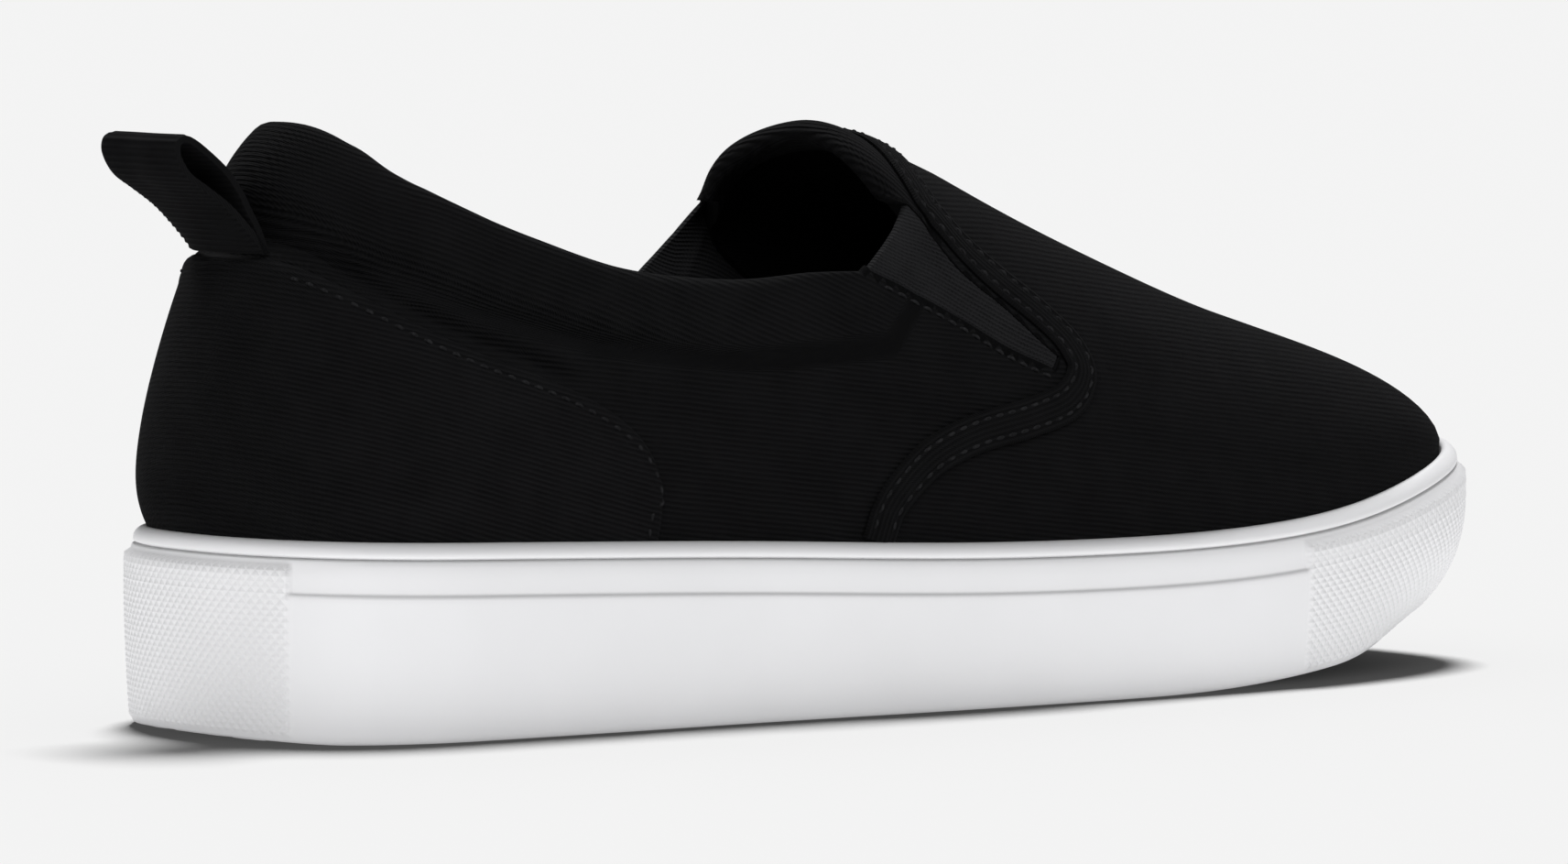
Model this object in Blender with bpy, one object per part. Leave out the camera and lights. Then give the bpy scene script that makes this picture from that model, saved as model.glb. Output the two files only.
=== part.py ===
"""Slip-on sneaker for the right foot: moulded cup sole, insole, hollow twill upper, heel counter,
vamp edge band, two elastic gores and a pull loop.

Metres, +Z up. X runs from the heel to the toe, -Y is the outer (lateral) side and +Y the inner
(medial) side. The shoe stands on z = 0, with its origin under the middle of its box.
"""
import math
from collections import namedtuple

import bmesh
import bpy
import numpy as np
from mathutils import Vector
from mathutils.bvhtree import BVHTree

MM = 0.001

# Driving sizes of the last and the sole
SOLE_LENGTH = 270 * MM
BALL_WIDTH = 92.6 * MM
INSTEP_HEIGHT = 101 * MM
RIM_HEIGHT = 28 * MM
COLLAR_HEIGHT = 101 * MM
TOE_SPRING = 9.0 * MM
TOE_SPRING_START = 0.62
TOE_SPRING_EASE = 1.35
HEEL_LIFT = 1.0 * MM
HEEL_LIFT_LENGTH = 12 * MM
HEEL_LIFT_EASE = 1.5

# Caps that close the plan outline and the ridge line at both ends: length, roundness, squareness
Cap = namedtuple("Cap", "length power root")
HEEL_PLAN = Cap(36.5 * MM, 2.33, 2.33)
TOE_PLAN = Cap(65 * MM, 2.26, 2.6)
HEEL_BACK = Cap(33.4 * MM, 2.08, 2.0)
TOE_TOP = Cap(51 * MM, 2.17, 2.0)

# Sections of the last. along is a share of SOLE_LENGTH; lateral, medial and ridge_side are shares of
# half BALL_WIDTH; rim is a share of RIM_HEIGHT and ridge a share of INSTEP_HEIGHT; crown and wall are
# the powers that round the section's top and its side.
Section = namedtuple("Section", "along lateral medial rim ridge ridge_side crown wall")
SECTIONS = (
    Section(0.00, 0.765, 0.801, 1.207, 1.058, 0.000, 2.00, 1.47),
    Section(0.10, 0.812, 0.797, 1.179, 1.056, 0.000, 2.00, 1.50),
    Section(0.22, 0.866, 0.758, 1.139, 1.059, 0.000, 2.00, 1.60),
    Section(0.35, 0.905, 0.728, 1.086, 1.053, 0.006, 2.00, 2.05),
    Section(0.48, 0.972, 0.773, 1.025, 1.000, 0.022, 2.00, 2.75),
    Section(0.61, 1.011, 0.903, 0.996, 0.853, 0.065, 2.00, 2.20),
    Section(0.73, 1.009, 0.989, 1.014, 0.719, 0.115, 2.05, 1.65),
    Section(0.84, 0.957, 1.006, 1.114, 0.614, 0.130, 2.20, 1.75),
    Section(0.94, 0.937, 0.972, 1.336, 0.584, 0.119, 2.20, 1.65),
    Section(1.00, 0.972, 0.950, 1.440, 0.576, 0.108, 2.20, 1.50),
)

# Opening of the upper in side view, from behind the heel forward: shares of SOLE_LENGTH, and heights
# as shares of COLLAR_HEIGHT behind the throat and of INSTEP_HEIGHT at it
Edge = namedtuple("Edge", "along height")
COLLAR_LINE = (
    Edge(-0.030, 0.960),
    Edge(0.029, 0.970),
    Edge(0.058, 0.995),
    Edge(0.082, 1.004),
    Edge(0.104, 0.968),
    Edge(0.125, 0.915),
    Edge(0.168, 0.855),
    Edge(0.210, 0.806),
    Edge(0.268, 0.752),
    Edge(0.337, 0.729),
    Edge(0.393, 0.733),
    Edge(0.436, 0.738),
)
THROAT_LINE = (
    Edge(0.478, 0.838),
    Edge(0.485, 0.875),
    Edge(0.483, 0.925),
    Edge(0.485, 0.975),
    Edge(0.498, 1.030),
)
OPENING_CENTRE = 0.33
CURVE_STEPS = 4

# How a column runs from the feather edge: steps, how they crowd at its foot, and how near the centre it ends
RAY_STEPS = 360
RAY_POWER = 3
RAY_REACH = 0.999

# Walls, clearances and the padding of the collar
FEATHER_INSET = 4.2 * MM
UPPER_WALL = 2.0 * MM
SEAT_GAP = 0.3 * MM
BULGE = 2.05 * MM
HEEL_BULGE = 1.0 * MM
HEEL_BULGE_LENGTH = 50 * MM
BULGE_HEIGHT = 14 * MM
COLLAR_PAD = 4.2 * MM
COLLAR_SWELL = 0.5 * MM
COLLAR_VALLEY = 0.9 * MM
COLLAR_PAD_DEPTH_BACK = 22 * MM
COLLAR_PAD_DEPTH_SIDE = 12.5 * MM
COLLAR_PAD_BACK_END = 0.30
LIP_PAD = 2.4 * MM
LIP_SWELL = 0.5 * MM
LIP_VALLEY = 0.2 * MM
LIP_DEPTH = 8 * MM
PAD_FADE_START = 0.36
PAD_FADE_END = 0.43
LIP_FADE = 0.04
VALLEY_SPREAD = 0.16
PAD_FOOT = 1.05
PAD_FOOT_SPAN = 0.35

# The sole's floor, insole and wall
FLOOR_BACK = 15 * MM
FLOOR_FRONT = 9 * MM
INSOLE_THICKNESS = 4.5 * MM
INSOLE_EDGE = 0.8 * MM
INSOLE_EDGE_SHARE = 0.7
INSOLE_COLUMNS = 56
LEDGE_DROP = 8.7 * MM
BAND_RECESS = 0.65 * MM
PATCH_RELIEF = 0.25 * MM
HEEL_PATCH_END = 0.024
TOE_PATCH_START = 0.772

# Profile of the sole's wall, from the cup's mouth outward and down. base says what height is counted
# from (the rim above, or the ground line below), rise is upward, and patch rows stand proud where
# the textured patches are.
Row = namedtuple("Row", "name inset base rise patch")
WALL_ROWS = (
    Row("mouth", 3.9 * MM, "rim", -0.6 * MM, False),
    Row("lip_inner", 3.45 * MM, "rim", -0.12 * MM, False),
    Row("lip_top", 2.8 * MM, "rim", 0.0, False),
    Row("lip_shoulder", 1.9 * MM, "rim", -0.3 * MM, False),
    Row("lip_outer", 1.25 * MM, "rim", -1.2 * MM, False),
    Row("lip_under", 1.45 * MM, "rim", -2.1 * MM, False),
    Row("groove", 1.95 * MM, "rim", -2.55 * MM, False),
    Row("groove_lower", 1.35 * MM, "rim", -3.0 * MM, False),
    Row("shoulder", 0.95 * MM, "rim", -3.6 * MM, True),
    Row("band", BAND_RECESS + 0.05 * MM, "rim", -6.0 * MM, True),
    Row("band_foot", BAND_RECESS, "rim", 0.25 * MM - LEDGE_DROP, True),
    Row("ledge", 0.0, "rim", -LEDGE_DROP, True),
    Row("wall", 0.0, "rim", -1.2 * MM - LEDGE_DROP, True),
    Row("wall_foot", 0.6 * MM, "ground", 1.7 * MM, True),
    Row("foot_bend", 0.95 * MM, "ground", 0.6 * MM, False),
    Row("tread_edge", 1.8 * MM, "ground", 0.0, False),
)
COLUMNS = 80
PATCH_STEP = 0.5 * MM

# Tread: bars across the forefoot and heel between shallow channels, and a raised arch
CHANNEL_DEPTH = 1.6 * MM
CHANNEL_WIDTH = 3.0 * MM
CHANNEL_PITCH = 11 * MM
CHANNEL_EDGE = 9 * MM
FOREFOOT_TREAD = (0.53, 0.86)
HEEL_TREAD = (0.09, 0.24)
ARCH = (0.31, 0.46)
ARCH_RISE = 1.8 * MM
CUT_MARGIN = 1.0 * MM

# Rows of the upper from the feather edge to its padded edge, as shares of that length, and the rows
# over the padding, from a little below it (1) to the start of the rounded edge (0)
BODY_SHARES = (0.0, 0.05, 0.13, 0.24, 0.37, 0.5, 0.64, 0.78, 0.9)
PAD_SHARES = (1.0, 0.84, 0.68, 0.5, 0.32, 0.15, 0.0)
PAD_REACH = 1.2
EDGE_STEPS = 4
UPPER_COLUMNS = 80
SURFACE_COLUMNS = 220
SURFACE_ROWS = 64

# Overlays on the upper: all lie this far off it, and start this far above the sole's rim
OVERLAY_GAP = 0.3 * MM
OVERLAY_THICKNESS = 0.7 * MM
OVERLAY_START = 1.0 * MM

# Heel counter: its front as a share of SOLE_LENGTH, and its top edge in side view as shares of
# SOLE_LENGTH and COLLAR_HEIGHT
COUNTER_FRONT = 0.268
COUNTER_ROWS = 10
COUNTER_ROW_POWER = 1.4
COUNTER_TOP = (
    Edge(0.010, 0.792),
    Edge(0.044, 0.782),
    Edge(0.073, 0.736),
    Edge(0.106, 0.682),
    Edge(0.144, 0.634),
    Edge(0.194, 0.583),
    Edge(0.224, 0.545),
    Edge(0.248, 0.500),
    Edge(0.261, 0.455),
    Edge(0.268, 0.400),
)

# Vamp edge band: middle line in side view from the sole up to the throat, as shares of SOLE_LENGTH
# and INSTEP_HEIGHT, then over the vamp in plan, as shares of SOLE_LENGTH and of half BALL_WIDTH
BAND_WIDTH = 4.8 * MM
BAND_STATIONS = 74
BAND_SIDE = (
    Edge(0.4362, 0.2955),
    Edge(0.440, 0.345),
    Edge(0.452, 0.390),
    Edge(0.472, 0.435),
    Edge(0.505, 0.467),
    Edge(0.545, 0.487),
    Edge(0.580, 0.512),
    Edge(0.598, 0.556),
    Edge(0.595, 0.602),
    Edge(0.576, 0.655),
    Edge(0.548, 0.716),
    Edge(0.524, 0.782),
    Edge(0.510, 0.850),
)
Over = namedtuple("Over", "along across")
BAND_OVER = (Over(0.512, 0.42), Over(0.521, 0.22), Over(0.525, 0.00))

# Gores: the wedge of elastic on each side, in side view as shares of SOLE_LENGTH and INSTEP_HEIGHT
GORE_LOWER = (
    Edge(0.442, 0.738),
    Edge(0.474, 0.708),
    Edge(0.506, 0.660),
    Edge(0.539, 0.608),
    Edge(0.576, 0.566),
)
GORE_FRONT = (
    Edge(0.493, 0.855),
    Edge(0.511, 0.756),
    Edge(0.541, 0.683),
    Edge(0.570, 0.610),
    Edge(0.583, 0.587),
)
NOTCH_MOUTH = (Edge(0.470, 0.880), Edge(0.432, 0.810))
GORE_THICKNESS = 1.4 * MM
GORE_DEPTH = 0.4 * MM
GORE_STEPS = 12
GORE_STRIPS = 4
GORE_REACH = 0.965
GORE_GAP = 0.42 * MM
NOTCH_NEAR = 8 * MM
NOTCH_FAR = 80 * MM

# Pull loop: outline of the tape at its edges, in side view from its foot up the back, over the fold
# and down beside the collar, as x and height
LOOP_WIDTH = 21 * MM
LOOP_THICKNESS = 1.1 * MM
LOOP_STRIPS = 6
LOOP_STEPS = 26
LOOP_BEND_FOOT = 3.4 * MM
LOOP_BEND_TOP = 0.5 * MM
LOOP_BEND_HEIGHT = 15 * MM
LOOP_HOLE_START = 3.4 * MM
LoopPoint = namedtuple("LoopPoint", "x z")
LOOP_OUTLINE = (
    LoopPoint(10.8, 80.3),
    LoopPoint(9.4, 82.2),
    LoopPoint(7.0, 85.1),
    LoopPoint(3.7, 88.4),
    LoopPoint(-0.4, 91.3),
    LoopPoint(-3.4, 93.3),
    LoopPoint(-5.7, 95.6),
    LoopPoint(-7.0, 98.2),
    LoopPoint(-6.5, 100.2),
    LoopPoint(-4.8, 101.0),
    LoopPoint(-2.6, 100.1),
    LoopPoint(0.9, 97.3),
    LoopPoint(3.9, 94.4),
    LoopPoint(6.5, 90.9),
    LoopPoint(8.4, 87.7),
    LoopPoint(10.2, 84.7),
    LoopPoint(11.3, 82.2),
    LoopPoint(12.15, 80.3),
)

# Plain finishes, and the angle in degrees over which an edge is shaded sharp
Finish = namedtuple("Finish", "name colour roughness")
TWILL = Finish("twill", (0.006, 0.006, 0.007, 1.0), 0.9)
RUBBER = Finish("rubber", (0.86, 0.86, 0.865, 1.0), 0.55)
LINING = Finish("lining", (0.010, 0.010, 0.011, 1.0), 0.95)
ELASTIC = Finish("elastic", (0.009, 0.009, 0.010, 1.0), 0.85)
SHARP_ANGLE = 35


def clear_scene():
    """Remove every object of the open file."""
    for item in list(bpy.data.objects):
        bpy.data.objects.remove(item, do_unlink=True)


def make_material(finish):
    """A plain material with the finish's colour and roughness."""
    material = bpy.data.materials.new(finish.name)
    material.use_nodes = True
    shader = material.node_tree.nodes["Principled BSDF"]
    shader.inputs["Base Color"].default_value = finish.colour
    shader.inputs["Roughness"].default_value = finish.roughness
    shader.inputs["Metallic"].default_value = 0.0
    return material


def spline(stations, values):
    """Natural cubic through the values, as a function of the station."""
    knots = np.asarray(stations, float)
    heights = np.asarray(values, float)
    count = len(knots)
    steps = np.diff(knots)
    matrix = np.eye(count)
    right = np.zeros(count)
    for i in range(1, count - 1):
        matrix[i, i - 1:i + 2] = steps[i - 1], 2 * (steps[i - 1] + steps[i]), steps[i]
        right[i] = 6 * ((heights[i + 1] - heights[i]) / steps[i]
                        - (heights[i] - heights[i - 1]) / steps[i - 1])
    bends = np.linalg.solve(matrix, right)

    def value(station):
        i = np.clip(np.searchsorted(knots, station) - 1, 0, count - 2)
        step = steps[i]
        d = station - knots[i]
        slope = (heights[i + 1] - heights[i]) / step - step * (2 * bends[i] + bends[i + 1]) / 6
        return heights[i] + d * slope + d * d * bends[i] / 2 + d ** 3 * (bends[i + 1] - bends[i]) / (6 * step)

    return value


def section_curve(column, scale):
    """A section column as a function of x in metres."""
    stations = [row.along * SOLE_LENGTH for row in SECTIONS]
    return spline(stations, [getattr(row, column) * scale for row in SECTIONS])


LATERAL = section_curve("lateral", BALL_WIDTH / 2)
MEDIAL = section_curve("medial", BALL_WIDTH / 2)
RIM = section_curve("rim", RIM_HEIGHT)
RIDGE = section_curve("ridge", INSTEP_HEIGHT)
RIDGE_SIDE = section_curve("ridge_side", BALL_WIDTH / 2)
CROWN = section_curve("crown", 1.0)
WALL = section_curve("wall", 1.0)


def rounded(line):
    """Points of a smooth curve through the points of a line."""
    points = np.asarray(line, float)
    ends = np.vstack([2 * points[0] - points[1], points, 2 * points[-1] - points[-2]])
    curve = []
    for a, b, c, d in zip(ends, ends[1:], ends[2:], ends[3:]):
        for t in np.arange(CURVE_STEPS) / CURVE_STEPS:
            bend = (2 * a - 5 * b + 4 * c - d) * t ** 2 + (3 * b - a - 3 * c + d) * t ** 3
            curve.append((2 * b + (c - a) * t + bend) / 2)
    return np.array(curve + [points[-1]])


def side_line(edges, height):
    """Smooth side-view curve of a table of edges, in metres."""
    return rounded([(e.along * SOLE_LENGTH, e.height * height) for e in edges])


def resampled(line, count, reach=1.0):
    """The same curve as evenly spaced points, or its first part where reach is under 1."""
    run = np.concatenate([[0.0], np.cumsum(np.linalg.norm(np.diff(line, axis=0), axis=1))])
    places = np.linspace(0, run[-1] * reach, count)
    return np.stack([np.interp(places, run, line[:, k]) for k in range(line.shape[1])], axis=1)


def smooth(share):
    """Ease a share from 0 to 1."""
    share = np.clip(share, 0.0, 1.0)
    return share * share * (3 - 2 * share)


def cap(distance, shape, inset):
    """Rises from 0 at the end of the outline to 1 past the cap's length."""
    length = shape.length - inset
    away = np.clip(1 - (distance - inset) / length, 0.0, 1.0)
    return np.clip(1 - away ** shape.power, 0.0, 1.0) ** (1 / shape.root)


def sides(x, inset):
    """y of the lateral and of the medial outline, moved in by the inset."""
    closing = cap(x, HEEL_PLAN, inset) * cap(SOLE_LENGTH - x, TOE_PLAN, inset)
    return -(LATERAL(x) - inset) * closing, (MEDIAL(x) - inset) * closing


def ring_x(angle, inset):
    """x of the outline at an angle."""
    return inset + (SOLE_LENGTH - 2 * inset) * (1 - np.cos(angle)) / 2


def outline(angles, inset):
    """Plan points of the outline: 0 at the heel, the lateral side, pi at the toe, the medial side."""
    x = ring_x(angles, inset)
    lateral, medial = sides(x, inset)
    return x, np.where(angles <= math.pi, lateral, medial)


def ground(x):
    """Height of the tread above the floor: flat, with the toe's spring and the heel's lift."""
    start = TOE_SPRING_START * SOLE_LENGTH
    toe = smooth(np.clip((x - start) / (SOLE_LENGTH - start), 0, 1) ** TOE_SPRING_EASE)
    heel = np.clip(1 - x / HEEL_LIFT_LENGTH, 0, 1) ** HEEL_LIFT_EASE
    return TOE_SPRING * toe + HEEL_LIFT * heel


def cup_floor(x):
    """Height of the cup's floor, thicker under the heel, following the toe's spring."""
    share = smooth(x / (TOE_SPRING_START * SOLE_LENGTH))
    return ground(np.clip(x, HEEL_LIFT_LENGTH, None)) + FLOOR_BACK + (FLOOR_FRONT - FLOOR_BACK) * share


def last_height(x, y):
    """Height of the closed last over a point of its plan."""
    lateral, medial = sides(x, FEATHER_INSET)
    ridge_y = np.clip(RIDGE_SIDE(x), lateral, medial)
    reach = np.where(y < ridge_y, ridge_y - lateral, medial - ridge_y)
    across = np.clip(np.abs(y - ridge_y) / np.maximum(reach, 1e-9), 0, 1)
    arch = (1 - across ** CROWN(x)) ** (1 / WALL(x))
    closing = cap(x, HEEL_BACK, FEATHER_INSET) * cap(SOLE_LENGTH - x, TOE_TOP, FEATHER_INSET)
    return RIM(x) + (RIDGE(x) - RIM(x)) * closing * arch


def outward(x, y):
    """Unit plan normals of a closed outline given anticlockwise from the heel by the lateral side."""
    tangent_x = np.roll(x, -1) - np.roll(x, 1)
    tangent_y = np.roll(y, -1) - np.roll(y, 1)
    size = np.hypot(tangent_x, tangent_y)
    return tangent_y / size, -tangent_x / size


def opening_outline():
    """Closed side-view outline of the space over the opening, as x and z pairs."""
    line = np.vstack([side_line(COLLAR_LINE, COLLAR_HEIGHT), side_line(THROAT_LINE, INSTEP_HEIGHT)])
    above = 2 * INSTEP_HEIGHT
    return np.vstack([line, [(line[-1][0], above), (line[0][0], above)]])


def inside_outline(x, z, line):
    """Whether side-view places lie inside a closed line."""
    inside = np.zeros(np.shape(x), bool)
    for (x0, z0), (x1, z1) in zip(line, np.roll(line, -1, 0)):
        spans = (z0 > z) != (z1 > z)
        rise = z1 - z0 if abs(z1 - z0) > 1e-12 else 1e-12
        inside ^= spans & (x < x0 + (x1 - x0) * (z - z0) / rise)
    return inside


def crossing(start, end, line):
    """Share of the way from start to end at which the side-view line is first crossed."""
    best = 1.0
    way = end - start
    for first, second in zip(line, np.roll(line, -1, 0)):
        side = second - first
        turn = way[0] * side[1] - way[1] * side[0]
        if abs(turn) < 1e-15:
            continue
        to_line = first - start
        along = (to_line[0] * side[1] - to_line[1] * side[0]) / turn
        across = (to_line[0] * way[1] - to_line[1] * way[0]) / turn
        if -1e-6 <= along <= 1 and -1e-6 <= across <= 1 + 1e-6:
            best = min(best, max(along, 0.0))
    return best


def last_columns(angles):
    """Polylines on the last's skin, each from the feather edge to the opening's edge."""
    x0, y0 = outline(angles, FEATHER_INSET)
    normal_x, normal_y = outward(x0, y0)
    reach = np.linspace(0, 1, RAY_STEPS) ** RAY_POWER * RAY_REACH
    x = x0[:, None] + (OPENING_CENTRE * SOLE_LENGTH - x0[:, None]) * reach
    y = y0[:, None] * (1 - reach)
    z = last_height(x, y)
    rise = z - z[:, :1]
    amount = BULGE + HEEL_BULGE * np.clip(1 - x0 / HEEL_BULGE_LENGTH, 0, 1)
    push = amount[:, None] * rise / BULGE_HEIGHT * np.exp(1 - rise / BULGE_HEIGHT)
    x = x + normal_x[:, None] * push
    y = y + normal_y[:, None] * push
    line = opening_outline()
    inside = inside_outline(x, z, line)
    columns = []
    for i in range(len(angles)):
        last = max(int(np.argmax(inside[i])), 1)
        points = np.stack([x[i, :last + 1], y[i, :last + 1], z[i, :last + 1]], axis=1)
        share = crossing(points[-2, [0, 2]], points[-1, [0, 2]], line)
        points[-1] = points[-2] + (points[-1] - points[-2]) * max(share, 1e-3)
        columns.append(points)
    return columns


def along_column(points, distances):
    """Points at the given distances from the feather edge, negative ones going down the cup."""
    steps = np.linalg.norm(np.diff(points, axis=0), axis=1)
    run = np.concatenate([[0.0], np.cumsum(steps)])
    return np.stack([np.interp(distances, run, points[:, k]) for k in range(3)], axis=1)


def column_length(points):
    """Length of a column from the feather edge to the opening."""
    return float(np.linalg.norm(np.diff(points, axis=0), axis=1).sum())


def grid_normals(grid):
    """Outward normals of a grid of points whose first index runs round the shoe."""
    around = np.roll(grid, -1, 0) - np.roll(grid, 1, 0)
    up = np.gradient(grid, axis=1)
    normal = np.cross(around, up)
    return normal / np.linalg.norm(normal, axis=2, keepdims=True)


class Skin:
    """The last's skin under the upper, read by angle round the shoe and distance from the opening."""

    def __init__(self, angles):
        self.angles = np.asarray(angles, float)
        self.columns = last_columns(self.angles)
        self.lengths = np.array([column_length(c) for c in self.columns])
        self.edge = np.array([c[-1] for c in self.columns])
        self.foot = np.array([c[0] for c in self.columns])

    def rows(self, distances):
        """Grid of points: distances has a row of lengths from the feather edge for each column."""
        return np.stack([along_column(c, d) for c, d in zip(self.columns, distances)])


def pad_of(skin):
    """Padding of each column: depth from the edge, thickness inside, swell and valley outside."""
    share = skin.edge[:, 0] / SOLE_LENGTH
    collar = 1 - smooth((share - PAD_FADE_START) / (PAD_FADE_END - PAD_FADE_START))
    lip = smooth((share - PAD_FADE_END) / LIP_FADE)
    back = 1 - smooth(share / COLLAR_PAD_BACK_END)
    depth = COLLAR_PAD_DEPTH_SIDE + (COLLAR_PAD_DEPTH_BACK - COLLAR_PAD_DEPTH_SIDE) * back
    depth = depth * (1 - lip) + LIP_DEPTH * lip
    return (depth, COLLAR_PAD * collar + LIP_PAD * lip, COLLAR_SWELL * collar + LIP_SWELL * lip,
            COLLAR_VALLEY * collar + LIP_VALLEY * lip)


def stand_off(skin, distances):
    """How far the upper's outside stands off the last, and how thick its wall is there."""
    depth, pad, swell, valley = (v[:, None] for v in pad_of(skin))
    share = (skin.lengths[:, None] - distances) / depth
    out = swell * np.sin(math.pi * np.clip(share, 0, 1)) - valley * np.exp(-((share - 1) / VALLEY_SPREAD) ** 2)
    return out, UPPER_WALL + pad * smooth((PAD_FOOT - share) / PAD_FOOT_SPAN)


def counter_angle():
    """Angle at which the counter's front stands on the lateral side."""
    reach = (COUNTER_FRONT * SOLE_LENGTH - FEATHER_INSET) / (SOLE_LENGTH - 2 * FEATHER_INSET)
    return math.acos(1 - 2 * reach)


def upper_angles():
    """Angles of the upper's columns, with one at each front edge of the counter."""
    angles = np.linspace(0, 2 * math.pi, UPPER_COLUMNS, endpoint=False)
    for angle in (counter_angle(), 2 * math.pi - counter_angle()):
        angles[np.argmin(np.abs(angles - angle))] = angle
    return angles


class Surface:
    """The upper's outside as a fine mesh that the overlays are laid on."""

    def __init__(self):
        skin = Skin(np.linspace(0, 2 * math.pi, SURFACE_COLUMNS, endpoint=False))
        distances = skin.lengths[:, None] * np.linspace(0, 1, SURFACE_ROWS)
        grid = skin.rows(distances)
        grid = grid + grid_normals(grid) * stand_off(skin, distances)[0][..., None]
        self.points = grid.reshape(-1, 3)
        self.normals = grid_normals(grid).reshape(-1, 3)
        self.faces = []
        for i in range(SURFACE_COLUMNS):
            near, far = i * SURFACE_ROWS, (i + 1) % SURFACE_COLUMNS * SURFACE_ROWS
            for j in range(SURFACE_ROWS - 1):
                self.faces.append((near + j, far + j, far + j + 1, near + j + 1))
        self.tree = BVHTree.FromPolygons([Vector(p) for p in self.points], self.faces)

    def normal(self, place, face):
        """Smooth normal at a place on a face."""
        corners = list(self.faces[face])
        weights = 1 / (((self.points[corners] - place) ** 2).sum(1) + 1e-9)
        total = (self.normals[corners] * weights[:, None]).sum(0)
        return total / np.linalg.norm(total)

    def near(self, point):
        """Nearest place on the surface and its normal."""
        place, _, face, _ = self.tree.find_nearest(Vector(point))
        return np.array(place), self.normal(np.array(place), face)

    def pierce(self, x, z, side):
        """Where a line along Y meets the outside at a side-view place; side is -1 or 1."""
        start = Vector((x, side * BALL_WIDTH, z))
        place, _, _, _ = self.tree.ray_cast(start, Vector((0, -side, 0)))
        return np.array(place)

    def drop(self, x, y):
        """Where a vertical line meets the outside from above."""
        place, _, _, _ = self.tree.ray_cast(Vector((x, y, 2 * INSTEP_HEIGHT)), Vector((0, 0, -1)))
        return np.array(place)


def mesh_object(name, points, faces, material):
    """Link a mesh with its faces turned outward."""
    mesh = bpy.data.meshes.new(name)
    mesh.from_pydata([tuple(p) for p in points], [], faces)
    mesh.validate()
    work = bmesh.new()
    work.from_mesh(mesh)
    bmesh.ops.recalc_face_normals(work, faces=work.faces)
    work.to_mesh(mesh)
    work.free()
    mesh.materials.append(material)
    mesh.shade_smooth()
    mesh.set_sharp_from_angle(angle=math.radians(SHARP_ANGLE))
    thing = bpy.data.objects.new(name, mesh)
    bpy.context.collection.objects.link(thing)
    return thing


def ring_faces(count, rows, closed):
    """Quads between rows of points that run round; closed joins the last row to the first."""
    faces = []
    for row in range(rows if closed else rows - 1):
        below, above = row * count, (row + 1) % rows * count
        for i in range(count):
            j = (i + 1) % count
            faces.append((below + i, below + j, above + j, above + i))
    return faces


def strip_faces(start, count):
    """Quads across a ring whose points i and count - i share the same x."""
    faces = [(start, start + 1, start + count - 1)]
    half = count // 2
    for i in range(1, half - 1):
        faces.append((start + i, start + i + 1, start + count - i - 1, start + count - i))
    faces.append((start + half - 1, start + half, start + half + 1))
    return faces


def slab(name, outer, inner, material):
    """A thin closed solid between two grids of points of the same shape."""
    rows, count = outer.shape[:2]
    points = np.concatenate([outer.reshape(-1, 3), inner.reshape(-1, 3)])
    under = rows * count
    faces = []
    for r in range(rows - 1):
        for c in range(count - 1):
            quad = (r * count + c, (r + 1) * count + c, (r + 1) * count + c + 1, r * count + c + 1)
            faces.append(quad)
            faces.append(tuple(under + i for i in reversed(quad)))
    border = [(r * count + c, (r + 1) * count + c) for r in range(rows - 1) for c in (0, count - 1)]
    border += [(r * count + c, r * count + c + 1) for c in range(count - 1) for r in (0, rows - 1)]
    faces += [(i, j, under + j, under + i) for i, j in border]
    return mesh_object(name, points, faces, material)


def sole_angles():
    """Angles of the sole's columns, with a close pair at each end of the textured patches."""
    half = np.linspace(0, math.pi, COLUMNS // 2 + 1)
    edges = []
    for share in (HEEL_PATCH_END, TOE_PATCH_START):
        x = np.array([share * SOLE_LENGTH - PATCH_STEP / 2, share * SOLE_LENGTH + PATCH_STEP / 2])
        edges.extend(np.arccos(1 - 2 * x / SOLE_LENGTH))
    gap = math.pi / COLUMNS / 2
    kept = [a for a in half if all(abs(a - e) > gap for e in edges)]
    side = sorted(kept + edges)
    return np.array(side + [2 * math.pi - a for a in reversed(side[1:-1])])


def build_sole(material):
    """The moulded cup sole with its lip, groove, band, ledge, patches and tread."""
    angles = sole_angles()
    count = len(angles)
    x_plain, _ = outline(angles, 0.0)
    share = x_plain / SOLE_LENGTH
    patch = (share < HEEL_PATCH_END) | (share > TOE_PATCH_START)
    rows = []
    x, y = outline(angles, WALL_ROWS[0].inset)
    rows.append(np.stack([x, y, cup_floor(x)], axis=1))
    for row in WALL_ROWS:
        inset = np.full(count, row.inset)
        if row.patch:
            lift = row.inset + PATCH_RELIEF if row.name != "wall_foot" else PATCH_RELIEF
            inset = np.where(patch, row.inset - lift, inset)
        x = ring_x(angles, 0.0)
        x = x + inset * np.cos(angles)
        lateral = np.array([sides(a, b)[0] for a, b in zip(x, inset)])
        medial = np.array([sides(a, b)[1] for a, b in zip(x, inset)])
        y = np.where(angles <= math.pi, lateral, medial)
        base = RIM(x) if row.base == "rim" else ground(np.clip(x, 0, SOLE_LENGTH))
        rows.append(np.stack([x, y, base + row.rise], axis=1))
    points = np.concatenate(rows)
    faces = ring_faces(count, len(rows), False)
    faces += strip_faces(0, count)
    faces += strip_faces((len(rows) - 1) * count, count)
    sole = mesh_object("sole", points, faces, material)
    cut_tread(sole)
    return sole


def channel(x0, x1, rise):
    """Eight corners of a channel cutter across the tread between two stations."""
    corners = []
    for x in (x0, x1):
        lateral, medial = sides(x, 0.0)
        low = float(ground(x))
        for y in (float(lateral) + CHANNEL_EDGE, float(medial) - CHANNEL_EDGE):
            corners.append((x, y, low - CUT_MARGIN))
            corners.append((x, y, low + rise))
    return corners


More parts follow.
